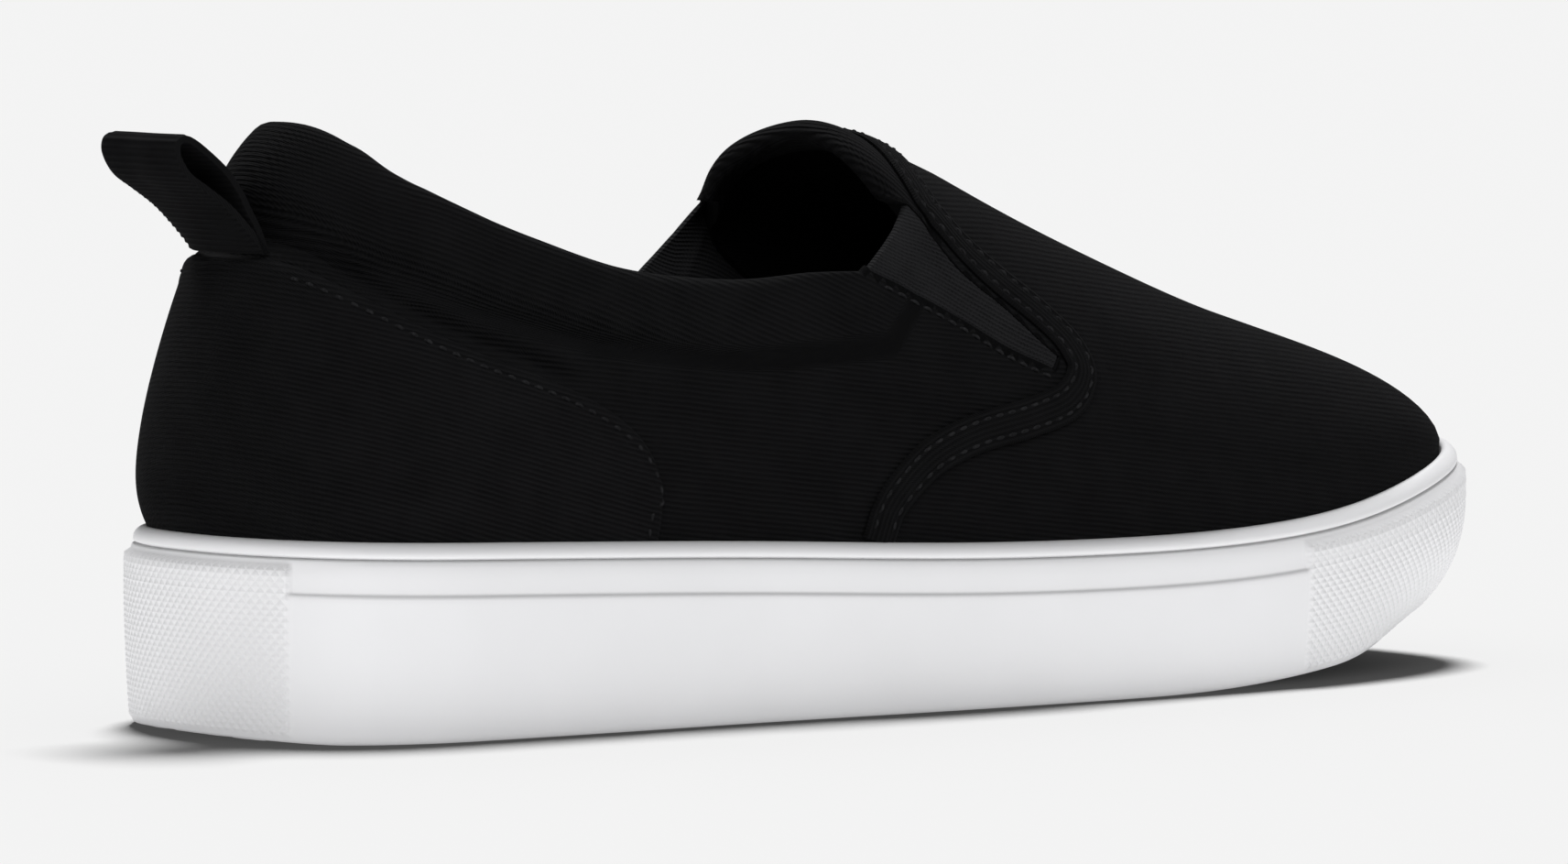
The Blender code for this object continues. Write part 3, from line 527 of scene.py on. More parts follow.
@dataclass(frozen=True)
class Padding:
    """Padding of the collar and the throat's lip, and the soft shape it gives the upper."""

    wall: float = 2.0 * MM
    collar: float = 4.2 * MM
    collar_swell: float = 0.5 * MM
    collar_valley: float = 2.2 * MM
    depth_back: float = 22 * MM
    depth_side: float = 12.5 * MM
    lip: float = 2.4 * MM
    lip_swell: float = 0.5 * MM
    lip_valley: float = 0.2 * MM
    lip_depth: float = 8 * MM
    fade: tuple[float, float] = (0.36, 0.43)
    valley_fade: tuple[float, float] = (0.24, 0.37)
    front_swell: float = 0.2
    lip_fade: float = 0.06
    spread: float = 0.15
    reach: float = 1.2
    back_end: float = 0.30
    pad_from: float = 1.05
    pad_span: float = 0.35

    def of(self, skin: Skin) -> tuple[Array, Array, Array, Array]:
        """Depth, inner thickness, swell and valley of each column.

        Args:
            skin: The last's skin.

        Returns:
            The four sizes.
        """
        share = skin.edge[:, 0] / LAST.length
        collar = 1 - smooth((share - self.fade[0]) / (self.fade[1] - self.fade[0]))
        lip = smooth((share - self.fade[1]) / self.lip_fade)
        dent = 1 - smooth((share - self.valley_fade[0]) / (self.valley_fade[1] - self.valley_fade[0]))
        depth = self.depth_side + (self.depth_back - self.depth_side) * (1 - smooth(share / self.back_end))
        return (depth * (1 - lip) + self.lip_depth * lip, self.collar * collar + self.lip * lip,
                self.collar_swell * collar * (self.front_swell + (1 - self.front_swell) * dent)
                + self.lip_swell * lip,
                self.collar_valley * dent + self.lip_valley * lip)

    def stand_off(self, skin: Skin, distances: Array) -> tuple[Array, Array]:
        """How far the outside stands off the last, and the wall's thickness there.

        Args:
            skin: The last's skin.
            distances: Distances from the feather edge, columns first.

        Returns:
            Both sizes at each distance.
        """
        depth, pad, swell, valley = (v[:, None] for v in self.of(skin))
        share = (skin.lengths[:, None] - distances) / depth
        dip = valley * np.exp(-((share - 1) / self.spread) ** 2)
        off = swell * np.sin(math.pi * np.clip(share, 0, 1)) - dip
        return off, self.wall + pad * smooth((self.pad_from - share) / self.pad_span)


PADDING = Padding()


class Crease(NamedTuple):
    """A soft trough (or ridge, where its depth is negative) on the upper, in side view, in millimetres."""

    side: Side
    line: tuple[tuple[float, float], ...]
    depth: float
    spread: float


GORE_RIDGE = ((132, 86), (138, 76), (146, 67.5), (154, 60.5), (158, 58.5))
COUNTER_TROUGH = ((6, 83.2), (12, 82.4), (20, 78), (29, 72.2), (39, 67.2), (52, 61.8), (60, 57.6))


@dataclass(frozen=True)
class Creases:
    """Soft dents and ridges of the fabric, listed one by one."""

    marks: tuple[Crease, ...] = (
        Crease(Side.LATERAL, ((84, 62), (98, 65), (112, 66)), 0.40, 5.0),
        Crease(Side.LATERAL, ((78, 55), (92, 50), (104, 47)), -0.30, 6.0),
        Crease(Side.LATERAL, ((100, 58), (128, 50)), 0.35, 5.0),
        Crease(Side.LATERAL, ((168, 62), (186, 47)), 0.25, 6.0),
        Crease(Side.LATERAL, GORE_RIDGE, -0.75, 2.3),
        Crease(Side.MEDIAL, GORE_RIDGE, -0.75, 2.3),
        Crease(Side.LATERAL, COUNTER_TROUGH, 2.0, 1.5),
        Crease(Side.MEDIAL, COUNTER_TROUGH, 2.0, 1.5),
        Crease(Side.MEDIAL, ((82, 60), (98, 63), (114, 64)), 0.40, 5.5),
        Crease(Side.MEDIAL, ((100, 52), (126, 46)), 0.30, 6.0),
        Crease(Side.MEDIAL, ((165, 60), (188, 46)), 0.25, 7.0),
    )
    fade: float = 0.12

    def push(self, points: Array) -> Array:
        """How far each point is pushed in by the creases near it.

        Args:
            points: Points on the upper.

        Returns:
            The distances.
        """
        total = np.zeros(points.shape[:-1])
        for mark in self.marks:
            line = rounded(mark.line, 4) * MM
            run, away, along = run_of(line), np.full(total.shape, np.inf), np.zeros(total.shape)
            for start, end, first, last in zip(line, line[1:], run, run[1:]):
                way, place = end - start, points[..., [0, 2]] - start
                share = np.clip((place @ way) / (way @ way), 0, 1)
                distance = np.linalg.norm(place - share[..., None] * way, axis=-1)
                nearer = distance < away
                away = np.where(nearer, distance, away)
                along = np.where(nearer, (first + share * (last - first)) / run[-1], along)
            ends = smooth(along / self.fade) * smooth((1 - along) / self.fade)
            same = points[..., 1] * mark.side.value > 0
            total += same * ends * mark.depth * MM * np.exp(-(away / (mark.spread * MM)) ** 2)
        return total


CREASES = Creases()


@dataclass
class Surface:
    """The upper's outside as a fine mesh that the overlays and stitches are laid on."""

    columns: int = 320
    rows: int = 100

    def __post_init__(self) -> None:
        """Make the mesh's tree."""
        skin = Skin(np.linspace(0, 2 * math.pi, self.columns, endpoint=False))
        distances = skin.lengths[:, None] * np.linspace(0, 1, self.rows)
        grid = skin.rows(distances)
        push = PADDING.stand_off(skin, distances)[0] - CREASES.push(grid)
        grid = grid + grid_normals(grid) * push[..., None]
        self.points = grid.reshape(-1, 3)
        self.normals = grid_normals(grid).reshape(-1, 3)
        self.faces = []
        for i in range(self.columns):
            near, far = i * self.rows, (i + 1) % self.columns * self.rows
            self.faces += [(near + j, far + j, far + j + 1, near + j + 1) for j in range(self.rows - 1)]
        self.tree = BVHTree.FromPolygons([Vector(p) for p in self.points], self.faces)

    def near(self, point: Array) -> tuple[Array, Array]:
        """Nearest place on the surface and its smooth normal.

        Args:
            point: The point to start from.

        Returns:
            The place and the normal.
        """
        found, _, face, _ = self.tree.find_nearest(Vector(point))
        place, corners = np.array(found), list(self.faces[face])
        weights = 1 / (((self.points[corners] - place) ** 2).sum(1) + 1e-9)
        total = (self.normals[corners] * weights[:, None]).sum(0)
        return place, total / np.linalg.norm(total)

    def pierce(self, x: float, z: float, side: Side) -> Array:
        """Where a line along Y meets the outside at a side-view place.

        Args:
            x: Place along the shoe.
            z: Its height.
            side: Side that the line comes from.

        Returns:
            The place met, or the nearest one.
        """
        start = Vector((x, side.value * LAST.ball_width, z))
        found = self.tree.ray_cast(start, Vector((0, -side.value, 0)))[0]
        return np.array(found or self.near((x, side.value * LAST.ball_width / 2, z))[0])

    def drop(self, x: float, y: float) -> Array:
        """Where a vertical line meets the outside from above."""
        return np.array(self.tree.ray_cast(Vector((x, y, 2 * LAST.instep)), Vector((0, 0, -1)))[0])


@dataclass
class Sheet:
    """A grid of points under way to a mesh, with its cloth coordinates.

    Attributes:
        grid: Points, columns first.
        cloth: Place of each point on the flat cloth, in metres.
    """

    grid: Array
    cloth: Array


def quads(columns: int, rows: int, around: bool, start: int = 0) -> list[tuple[int, int, int, int]]:
    """Faces of a grid of points.

    Args:
        columns: Number of columns.
        rows: Points in a column.
        around: Whether the last column joins the first.
        start: Index of the grid's first point.

    Returns:
        The faces' corners.
    """
    faces = []
    for i in range(columns if around else columns - 1):
        near, far = start + i * rows, start + (i + 1) % columns * rows
        faces += [(near + j, far + j, far + j + 1, near + j + 1) for j in range(rows - 1)]
    return faces


def lid(columns: int, rows: int, row: int, flip: bool) -> list[tuple[int, ...]]:
    """Faces across a ring whose points i and columns - i share the same x.

    Args:
        columns: Number of columns of the grid.
        rows: Points in a column.
        row: The row that the faces close.
        flip: Whether the faces are turned over.

    Returns:
        The faces' corners.
    """
    faces = []
    for i in range(columns // 2):
        ring = dict.fromkeys([i, i + 1, (columns - i - 1) % columns, (columns - i) % columns])
        corners = tuple(k * rows + row for k in ring)
        faces.append(corners[::-1] if flip else corners)
    return faces


def cad_shift() -> Array:
    """Move from the last's axes to the frame's, read from the insole, whose outline is known.

    Returns:
        The move.
    """
    columns, gap = 56, 0.6 * MM
    low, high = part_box("insole")
    angles = np.linspace(0, 2 * math.pi, columns, endpoint=False)
    x, y = LAST.outline(angles, LAST.feather + PADDING.wall + gap)
    middle = np.array([(x.min() + x.max()) / 2, (y.min() + y.max()) / 2])
    return np.array([(low[0] + high[0]) / 2 - middle[0], (low[1] + high[1]) / 2 - middle[1], 0.0])


SHIFT = cad_shift()
SOFT_SLOTS = ("twill", "elastic")


def make_piece(name: str, points: Array, faces: Sequence[Sequence[int]],
               materials: Sequence[bpy.types.Material], picks: Sequence[int] | None = None,
               cloth: Array | None = None, sharp: float = 50.0) -> bpy.types.Object:
    """Make a mesh object in the frame's axes.

    Args:
        name: Name of the piece.
        points: Points in the last's axes.
        faces: Corners of each face.
        materials: Materials of the piece.
        picks: Index of the material of each face.
        cloth: Place of each point on the flat cloth.
        sharp: Angle in degrees over which an edge is shaded sharp.

    Returns:
        The new object.
    """
    mesh = bpy.data.meshes.new(name)
    mesh.from_pydata((np.asarray(points) + SHIFT).tolist(), [], [tuple(f) for f in faces])
    for material in materials:
        mesh.materials.append(material)
    if picks is not None:
        mesh.polygons.foreach_set("material_index", np.asarray(picks, dtype=np.int32))
    if cloth is not None:
        layer = mesh.attributes.new("cloth", "FLOAT_VECTOR", "POINT")
        layer.data.foreach_set("vector", np.asarray(cloth, dtype=np.float32).ravel())
    work = bmesh.new()
    work.from_mesh(mesh)
    bmesh.ops.recalc_face_normals(work, faces=work.faces)
    work.to_mesh(mesh)
    work.free()
    mesh.shade_smooth()
    mesh.set_sharp_from_angle(angle=math.radians(sharp))
    piece = bpy.data.objects.new(name, mesh)
    bpy.context.collection.objects.link(piece)
    return piece


def settle(piece: bpy.types.Object) -> None:
    """Give a soft piece the upper's ease.

    Args:
        piece: The piece, already in the frame.
    """
    flat = np.empty(len(piece.data.vertices) * 3)
    piece.data.vertices.foreach_get("co", flat)
    moved = EASE.move(flat.reshape(-1, 3) - SHIFT) + SHIFT
    piece.data.vertices.foreach_set("co", moved.ravel())
    piece.data.update()


def stand_in(piece: bpy.types.Object, slot: str, *nodes: str) -> bpy.types.Object:
    """Give a soft piece the upper's ease, hang the piece on the root body and hide the nodes it stands for.

    Args:
        piece: The piece.
        slot: Its slot; soft slots get the upper's ease.
        nodes: The nodes it stands for.

    Returns:
        The piece.
    """
    if slot in SOFT_SLOTS:
        settle(piece)
    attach(piece, "root")
    if nodes:
        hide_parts(*nodes)
    LOG.info("%s: %d faces", piece.name, len(piece.data.polygons))
    return piece


def slab(outer: Sheet, inner: Array, bevel: float = 0.0) -> tuple[Array, list, Array]:
    """Close two grids of points into one body with rounded borders.

    Args:
        outer: The outer sheet.
        inner: Points under the outer ones.
        bevel: Share by which the border's middle row stands out.

    Returns:
        Points, faces and cloth places.
    """
    columns, rows = outer.grid.shape[:2]
    points = [outer.grid.reshape(-1, 3), inner.reshape(-1, 3)]
    cloth = [outer.cloth.reshape(-1, 3), outer.cloth.reshape(-1, 3)]
    under = columns * rows
    faces = quads(columns, rows, False)
    faces += [tuple(under + i for i in reversed(f)) for f in quads(columns, rows, False)]
    ring = [i * rows for i in range(columns)] + [(columns - 1) * rows + j for j in range(1, rows)]
    ring += [i * rows + rows - 1 for i in reversed(range(columns - 1))] + list(range(rows - 2, 0, -1))
    flat_outer, flat_inner = points[0], points[1]
    middle = (flat_outer[ring] + flat_inner[ring]) / 2
    centre = middle.mean(0)
    away = np.roll(middle, -1, 0) - np.roll(middle, 1, 0)
    lift = flat_outer[ring] - flat_inner[ring]
    out = np.cross(away, lift)
    out /= np.maximum(np.linalg.norm(out, axis=1, keepdims=True), 1e-12)
    if ((middle - centre) * out).sum() < 0:
        out = -out
    thick = np.linalg.norm(lift, axis=1, keepdims=True)
    points.append(middle + out * thick * bevel)
    cloth.append(cloth[0][ring])
    start = 2 * under
    for k, i in enumerate(ring):
        m = (k + 1) % len(ring)
        faces.append((i, ring[m], start + m, start + k))
        faces.append((start + k, start + m, under + ring[m], under + i))
    return np.concatenate(points), faces, np.concatenate(cloth)


class Nodes:
    """Short ways to make and join shader nodes."""

    def __init__(self, name: str) -> None:
        """Make a material with its Principled shader.

        Args:
            name: Name of the material.
        """
        self.material = bpy.data.materials.new(name)
        self.material.use_nodes = True
        self.tree = self.material.node_tree
        self.shader = self.tree.nodes["Principled BSDF"]

    def add(self, kind: str, **settings: object) -> bpy.types.Node:
        """Add a node; settings are its properties, or inputs where the name has a capital.

        Args:
            kind: The node's type.
            settings: Values to set.

        Returns:
            The node.
        """
        node = self.tree.nodes.new(kind)
        for key, value in settings.items():
            if key[0].isupper():
                node.inputs[key.replace("_", " ")].default_value = value
            else:
                setattr(node, key, value)
        return node

    def join(self, source: bpy.types.NodeSocket, target: bpy.types.NodeSocket) -> None:
        """Link two sockets."""
        self.tree.links.new(source, target)

    def maths(self, operation: str, first: object, second: object = None) -> bpy.types.NodeSocket:
        """Add a maths node of one or two values or sockets and give its result.

        Args:
            operation: What it works out.
            first: First value or socket.
            second: Second value or socket, if it has one.

        Returns:
            The result socket.
        """
        node = self.add("ShaderNodeMath", operation=operation)
        for socket, value in zip(node.inputs, (first, second)):
            if isinstance(value, bpy.types.NodeSocket):
                self.join(value, socket)
            elif value is not None:
                socket.default_value = value
        return node.outputs[0]


@dataclass(frozen=True)
class Cloth:
    """A woven finish: its colour, its rib pitch and direction, and how it takes the light."""

    name: str
    grey: float
    rib: float = 0.88 * MM
    thread: float = 0.42 * MM
    relief: float = 0.15 * MM
    fleck: float = 0.5
    sheen: float = 0.006
    specular: float = 0.03

    def material(self) -> bpy.types.Material:
        """Build the finish's nodes.

        Returns:
            The material.
        """
        nodes = Nodes(self.name)
        shader = nodes.shader
        shader.inputs["Roughness"].default_value = 0.92
        shader.inputs["Specular IOR Level"].default_value = self.specular
        shader.inputs["Sheen Weight"].default_value = self.sheen
        shader.inputs["Sheen Roughness"].default_value = 0.55
        shader.inputs["Sheen Tint"].default_value = (0.9, 0.92, 1.0, 1.0)
        place = nodes.add("ShaderNodeAttribute", attribute_name="cloth")
        wander = nodes.add("ShaderNodeTexNoise", Scale=90.0, Detail=2.0)
        broken = nodes.add("ShaderNodeTexNoise", Scale=420.0, Detail=2.0)
        for texture in (wander, broken):
            nodes.join(place.outputs["Vector"], texture.inputs["Vector"])
        split = nodes.add("ShaderNodeSeparateXYZ")
        nodes.join(place.outputs["Vector"], split.inputs["Vector"])
        drift = nodes.maths("MULTIPLY", wander.outputs["Fac"], 0.6 * self.rib)
        across = nodes.maths("ADD", split.outputs["Y"], drift)
        wave = nodes.maths("SINE", nodes.maths("MULTIPLY", across, 2 * math.pi / self.rib))
        rib = nodes.maths("MULTIPLY", wave, nodes.maths("MULTIPLY", broken.outputs["Fac"], 2.0))
        slant = nodes.maths("ADD", nodes.maths("MULTIPLY", split.outputs["X"], 0.8), across)
        thread = nodes.maths("SINE", nodes.maths("MULTIPLY", slant, 2 * math.pi / self.thread))
        weave = nodes.maths("ADD", nodes.maths("MULTIPLY", rib, 0.7), nodes.maths("MULTIPLY", thread, 0.3))
        fuzz = nodes.add("ShaderNodeTexNoise", Scale=2600.0, Detail=3.0)
        nodes.join(place.outputs["Vector"], fuzz.inputs["Vector"])
        height = nodes.maths("ADD", weave, nodes.maths("MULTIPLY", fuzz.outputs["Fac"], 1.2))
        bump = nodes.add("ShaderNodeBump", Strength=1.0, Distance=self.relief)
        nodes.join(height, bump.inputs["Height"])
        nodes.join(bump.outputs["Normal"], shader.inputs["Normal"])
        blotch = nodes.add("ShaderNodeTexNoise", Scale=140.0, Detail=4.0)
        nodes.join(place.outputs["Vector"], blotch.inputs["Vector"])
        tone = nodes.maths("ADD", nodes.maths("MULTIPLY", weave, self.fleck), blotch.outputs["Fac"])
        ramp = nodes.add("ShaderNodeMapRange", From_Min=-0.2, From_Max=1.3, To_Min=0.55, To_Max=1.6)
        nodes.join(tone, ramp.inputs["Value"])
        colour = nodes.add("ShaderNodeCombineColor")
        for channel, tint in zip(colour.inputs, (1.0, 1.0, 1.06)):
            nodes.join(nodes.maths("MULTIPLY", ramp.outputs["Result"], self.grey * tint), channel)
        nodes.join(colour.outputs["Color"], shader.inputs["Base Color"])
        return nodes.material


@dataclass(frozen=True)
class Moulding:
    """White moulded rubber: satin, faintly uneven."""

    name: str = "moulded_rubber"
    colour: tuple[float, float, float] = (0.845, 0.845, 0.86)
    roughness: float = 0.42
    knurl: float = 0.30 * MM

    def material(self) -> bpy.types.Material:
        """Build the finish's nodes.

        Returns:
            The material.
        """
        nodes = Nodes(self.name)
        shader = nodes.shader
        shader.inputs["Specular IOR Level"].default_value = 0.35
        shader.inputs["Subsurface Weight"].default_value = 0.0
        place = nodes.add("ShaderNodeTexCoord")
        grain = nodes.add("ShaderNodeTexNoise", Scale=1400.0, Detail=3.0)
        cloud = nodes.add("ShaderNodeTexNoise", Scale=45.0, Detail=2.0)
        for texture in (grain, cloud):
            nodes.join(place.outputs["Object"], texture.inputs["Vector"])
        tone = nodes.add("ShaderNodeMapRange", From_Min=0.3, From_Max=0.7, To_Min=0.985, To_Max=1.01)
        nodes.join(cloud.outputs["Fac"], tone.inputs["Value"])
        colour = nodes.add("ShaderNodeCombineColor")
        for channel, value in zip(colour.inputs, self.colour):
            nodes.join(nodes.maths("MULTIPLY", tone.outputs["Result"], value), channel)
        nodes.join(colour.outputs["Color"], shader.inputs["Base Color"])
        rough = nodes.add("ShaderNodeMapRange", From_Min=0.3, From_Max=0.7,
                          To_Min=self.roughness - 0.05, To_Max=self.roughness + 0.06)
        nodes.join(grain.outputs["Fac"], rough.inputs["Value"])
        nodes.join(rough.outputs["Result"], shader.inputs["Roughness"])
        bump = nodes.add("ShaderNodeBump", Strength=0.5, Distance=0.02 * MM)
        nodes.join(grain.outputs["Fac"], bump.inputs["Height"])
        wave = nodes.add("ShaderNodeSeparateXYZ")
        place = nodes.add("ShaderNodeAttribute", attribute_name="cloth")
        nodes.join(place.outputs["Vector"], wave.inputs["Vector"])
        rise = None
        for operation in ("ADD", "SUBTRACT"):
            slant = nodes.maths(operation, wave.outputs["X"], wave.outputs["Y"])
            ridge = nodes.maths("PINGPONG", slant, 0.5)
            rise = ridge if rise is None else nodes.maths("MINIMUM", rise, ridge)
        knurl = nodes.add("ShaderNodeBump", Strength=1.0, Distance=self.knurl)
        nodes.join(nodes.maths("MULTIPLY", rise, wave.outputs["Z"]), knurl.inputs["Height"])
        nodes.join(bump.outputs["Normal"], knurl.inputs["Normal"])
        nodes.join(knurl.outputs["Normal"], shader.inputs["Normal"])
        return nodes.material


@dataclass
class CupSole:
    """The moulded cup sole: lip, groove, recessed band, ledge, wall and textured heel and toe patches."""

    finish: bpy.types.Material
    plain_step: float = 2.2 * MM
    patch_step: float = 0.42 * MM
    heel_patch: float = 0.024
    toe_patch: float = 0.772
    patch_lift: float = 0.22 * MM
    knurl_height: float = 0.22 * MM
    knurl_width: float = 1.8 * MM
    knurl_tall: float = 1.9 * MM
    patch_top: float = -4.1 * MM
    patch_foot: float = 1.1 * MM
    patch_fade: float = 0.35 * MM
    patch_ramp: float = 0.0016
    wall_taper: float = 0.8 * MM
    wall_power: float = 1.6
    toe_round: float = 8.0 * MM
    toe_height: float = 26 * MM
    toe_power: float = 3.2
    toe_start: float = 0.80
    toe_span: float = 0.16
    wall_rows: int = 80
    lip: tuple[WallRow, ...] = (
        WallRow(3.9, Base.RIM, -6.0), WallRow(3.9, Base.RIM, -0.75), WallRow(3.78, Base.RIM, -0.35),
        WallRow(3.5, Base.RIM, -0.08), WallRow(3.1, Base.RIM, 0.02), WallRow(2.7, Base.RIM, -0.05),
        WallRow(2.3, Base.RIM, -0.24), WallRow(1.92, Base.RIM, -0.52), WallRow(1.6, Base.RIM, -0.86),
        WallRow(1.36, Base.RIM, -1.25), WallRow(1.22, Base.RIM, -1.7), WallRow(1.17, Base.RIM, -2.15),
        WallRow(1.22, Base.RIM, -2.4), WallRow(1.42, Base.RIM, -2.56), WallRow(1.8, Base.RIM, -2.65),
        WallRow(1.85, Base.RIM, -2.73), WallRow(1.35, Base.RIM, -2.86), WallRow(1.06, Base.RIM, -3.0),
        WallRow(0.92, Base.RIM, -3.2), WallRow(0.8, Base.RIM, -3.75),
    )
    band: tuple[WallRow, ...] = (
        WallRow(0.66, Base.RIM, -4.4), WallRow(0.57, Base.RIM, -6.0), WallRow(0.52, Base.RIM, -8.15),
        WallRow(0.5, Base.RIM, -8.42), WallRow(0.38, Base.RIM, -8.56), WallRow(0.2, Base.RIM, -8.72),
        WallRow(0.06, Base.RIM, -8.92), WallRow(0.0, Base.RIM, -9.25), WallRow(0.0, Base.RIM, -10.0),
    )
    foot: tuple[WallRow, ...] = (
        WallRow(0.8, Base.GROUND, 1.5), WallRow(0.88, Base.GROUND, 0.95), WallRow(1.1, Base.GROUND, 0.45),
        WallRow(1.45, Base.GROUND, 0.12), WallRow(1.9, Base.GROUND, 0.0), WallRow(3.0, Base.GROUND, 0.0),
        WallRow(3.2, Base.GROUND, 1.8),
    )

    def columns(self) -> tuple[Array, Array]:
        """Place the columns, closer together over the textured patches.

        Returns:
            Their angles and their arc lengths.
        """
        fine = np.linspace(0, math.pi, 4001)
        found = []
        for turn in (fine, 2 * math.pi - fine):
            x, y = LAST.outline(turn, 0.0)
            arc = run_of(np.stack([x, y], axis=1))
            share = x / LAST.length
            patch = (share < self.heel_patch + 0.004) | (share > self.toe_patch - 0.004)
            density = np.where(patch, 1 / self.patch_step, 1 / self.plain_step)
            count = np.concatenate([[0.0], np.cumsum((density[1:] + density[:-1]) / 2 * np.diff(arc))])
            found.append((turn, arc, count))
        steps = int(round(max(item[2][-1] for item in found)))
        angles, arcs = [], []
        for turn, arc, count in found:
            places = np.linspace(0, count[-1], steps + 1)
            angles.append(np.interp(places, count, turn))
            arcs.append(np.interp(places, count, arc))
        return (np.concatenate([angles[0], angles[1][-2:0:-1]]),
                np.concatenate([arcs[0], -arcs[1][-2:0:-1]]))

    def patch_mask(self, share: Array, rim: Array, ground: Array, z: Array) -> tuple[Array, Array]:
        """Where the textured patches are.

        Args:
            share: Share of the length of each column.
            rim: Height of the rim at each column.
            ground: Height of the tread at each column.
            z: Height of each point, a row for each column.

        Returns:
            The patches' columns, and their columns and rows together, from 0 to 1.
        """
        heel, toe = (self.heel_patch - share) / self.patch_ramp, (share - self.toe_patch) / self.patch_ramp
        on = smooth(np.maximum(heel, toe) + 0.5)[:, None]
        top = smooth((rim[:, None] + self.patch_top - z) / self.patch_fade)
        low = smooth((z - ground[:, None] - self.patch_foot) / self.patch_fade)
        return on, on * top * low

    def knurl(self, arc: Array, rim: Array, z: Array) -> Array:
        """Height of the diamond bumps at each point.

        Args:
            arc: Arc length of each column.
            rim: Height of the rim at each column.
            z: Height of each point, a row for each column.

        Returns:
            The heights, from 0 to 1.
        """
        u, v = arc[:, None] / self.knurl_width, (z - rim[:, None]) / self.knurl_tall
        first, second = (1 - 2 * np.abs(w % 1 - 0.5) for w in (u + v, u - v))
        return np.minimum(first, second)

    def toe_inset(self, share: Array, height: Array) -> Array:
        """How far the wall curves in under the toe at heights above the tread."""
        weight = smooth((share - self.toe_start) / self.toe_span)
        return self.toe_round * weight * np.clip(1 - height / self.toe_height, 0, 1) ** self.toe_power

    def build(self) -> bpy.types.Object:
        """Build the sole's wall and cup.

        Returns:
            The piece.
        """
        angles, arc = self.columns()
        plain, _ = LAST.outline(angles, 0.0)
        share = plain / LAST.length
        rim, ground = LAST.curve("rim")(plain), LAST.ground(np.clip(plain, 0, LAST.length))
        insets = [np.full(len(angles), row.inset * MM) for row in self.lip + self.band]
        heights = [rim + row.rise * MM for row in self.lip + self.band]
        start, end = heights[-1], ground + self.foot[0].rise * MM
        for k in range(1, self.wall_rows):
            down = k / self.wall_rows
            insets.append(np.full(len(angles), self.wall_taper * down ** self.wall_power))
            heights.append(start + (end - start) * down)
        insets += [np.full(len(angles), row.inset * MM) for row in self.foot]
        heights += [ground + row.rise * MM for row in self.foot]
        z, recess = np.stack(heights, axis=1), np.stack(insets, axis=1)
        on, mask = self.patch_mask(share, rim, ground, z)
        count = len(self.lip) + len(self.band)
        recess[:, len(self.lip):count] *= 1 - (on * mask)[:, len(self.lip):count]
        recess -= mask * (self.patch_lift + self.knurl_height * self.knurl(arc, rim, z))
        outside = np.arange(z.shape[1]) >= len(self.lip)
        recess += self.toe_inset(share[:, None], z - ground[:, None]) * outside
        x = plain[:, None] + recess * np.cos(angles)[:, None]
        lateral, medial = LAST.sides(x, recess)
        y = np.where((angles <= math.pi)[:, None], lateral, medial)
        grid = np.stack([x, y, z], axis=2)
        columns, rows = grid.shape[:2]
        faces = quads(columns, rows, True)
        for row, flip in ((0, False), (rows - 1, True)):
            faces += lid(columns, rows, row, flip)
        around, up = arc[:, None] / self.knurl_width + 0 * z, (z - rim[:, None]) / self.knurl_tall
        wave = np.stack([around, up, mask], axis=2)
        piece = make_piece("cup_sole", grid.reshape(-1, 3), faces, [self.finish], sharp=60.0,
                           cloth=wave.reshape(-1, 3))
        return stand_in(piece, "sole_rubber", "sole")


@dataclass
class Tread:
    """The tread under the cup sole: zigzag bars between shallow channels."""

    finish: bpy.types.Material
    inset: float = 3.4 * MM
    toe_inset: float = 8.5 * MM
    depth: float = 1.5 * MM
    pitch: float = 8.0 * MM
    channel: float = 0.34
    zigzag: float = 4.0 * MM
    zigzag_width: float = 17 * MM
    arch: tuple[float, float] = (0.31, 0.46)
    columns: int = 330
    strips: int = 56
    toe_from: float = 0.80
    toe_span: float = 0.16
    slope: float = 0.05
    thickness: float = 2.6 * MM

    def build(self) -> bpy.types.Object:
        """Build the tread as a closed slab.

        Returns:
            The piece.
        """
        x = np.linspace(self.inset, LAST.length - self.inset - self.toe_inset, self.columns + 2)[1:-1]
        drawn = smooth((x / LAST.length - self.toe_from) / self.toe_span)
        lateral, medial = LAST.sides(x, self.inset + self.toe_inset * drawn)
        share = np.linspace(0, 1, self.strips)
        y = lateral[:, None] + (medial - lateral)[:, None] * share
        wave = np.abs((y / self.zigzag_width) % 1 - 0.5) * 2 * self.zigzag
        phase = ((x[:, None] + wave) / self.pitch) % 1
        cut = smooth(np.clip((self.channel / 2 - np.abs(phase - 0.5)) / self.slope, 0, 1))
        plain = (x / LAST.length > self.arch[0]) & (x / LAST.length < self.arch[1])
        cut = np.where(plain[:, None], 1.0, cut)
        ground = LAST.ground(x)[:, None]
        low = np.stack([x[:, None] + 0 * y, y, ground + self.depth * cut], axis=2)
        high = low.copy()
        high[..., 2] = ground + self.thickness
        points, faces, _ = slab(Sheet(low, low), high)
        piece = make_piece("tread", points, faces, [self.finish])
        return stand_in(piece, "sole_rubber", "sole")


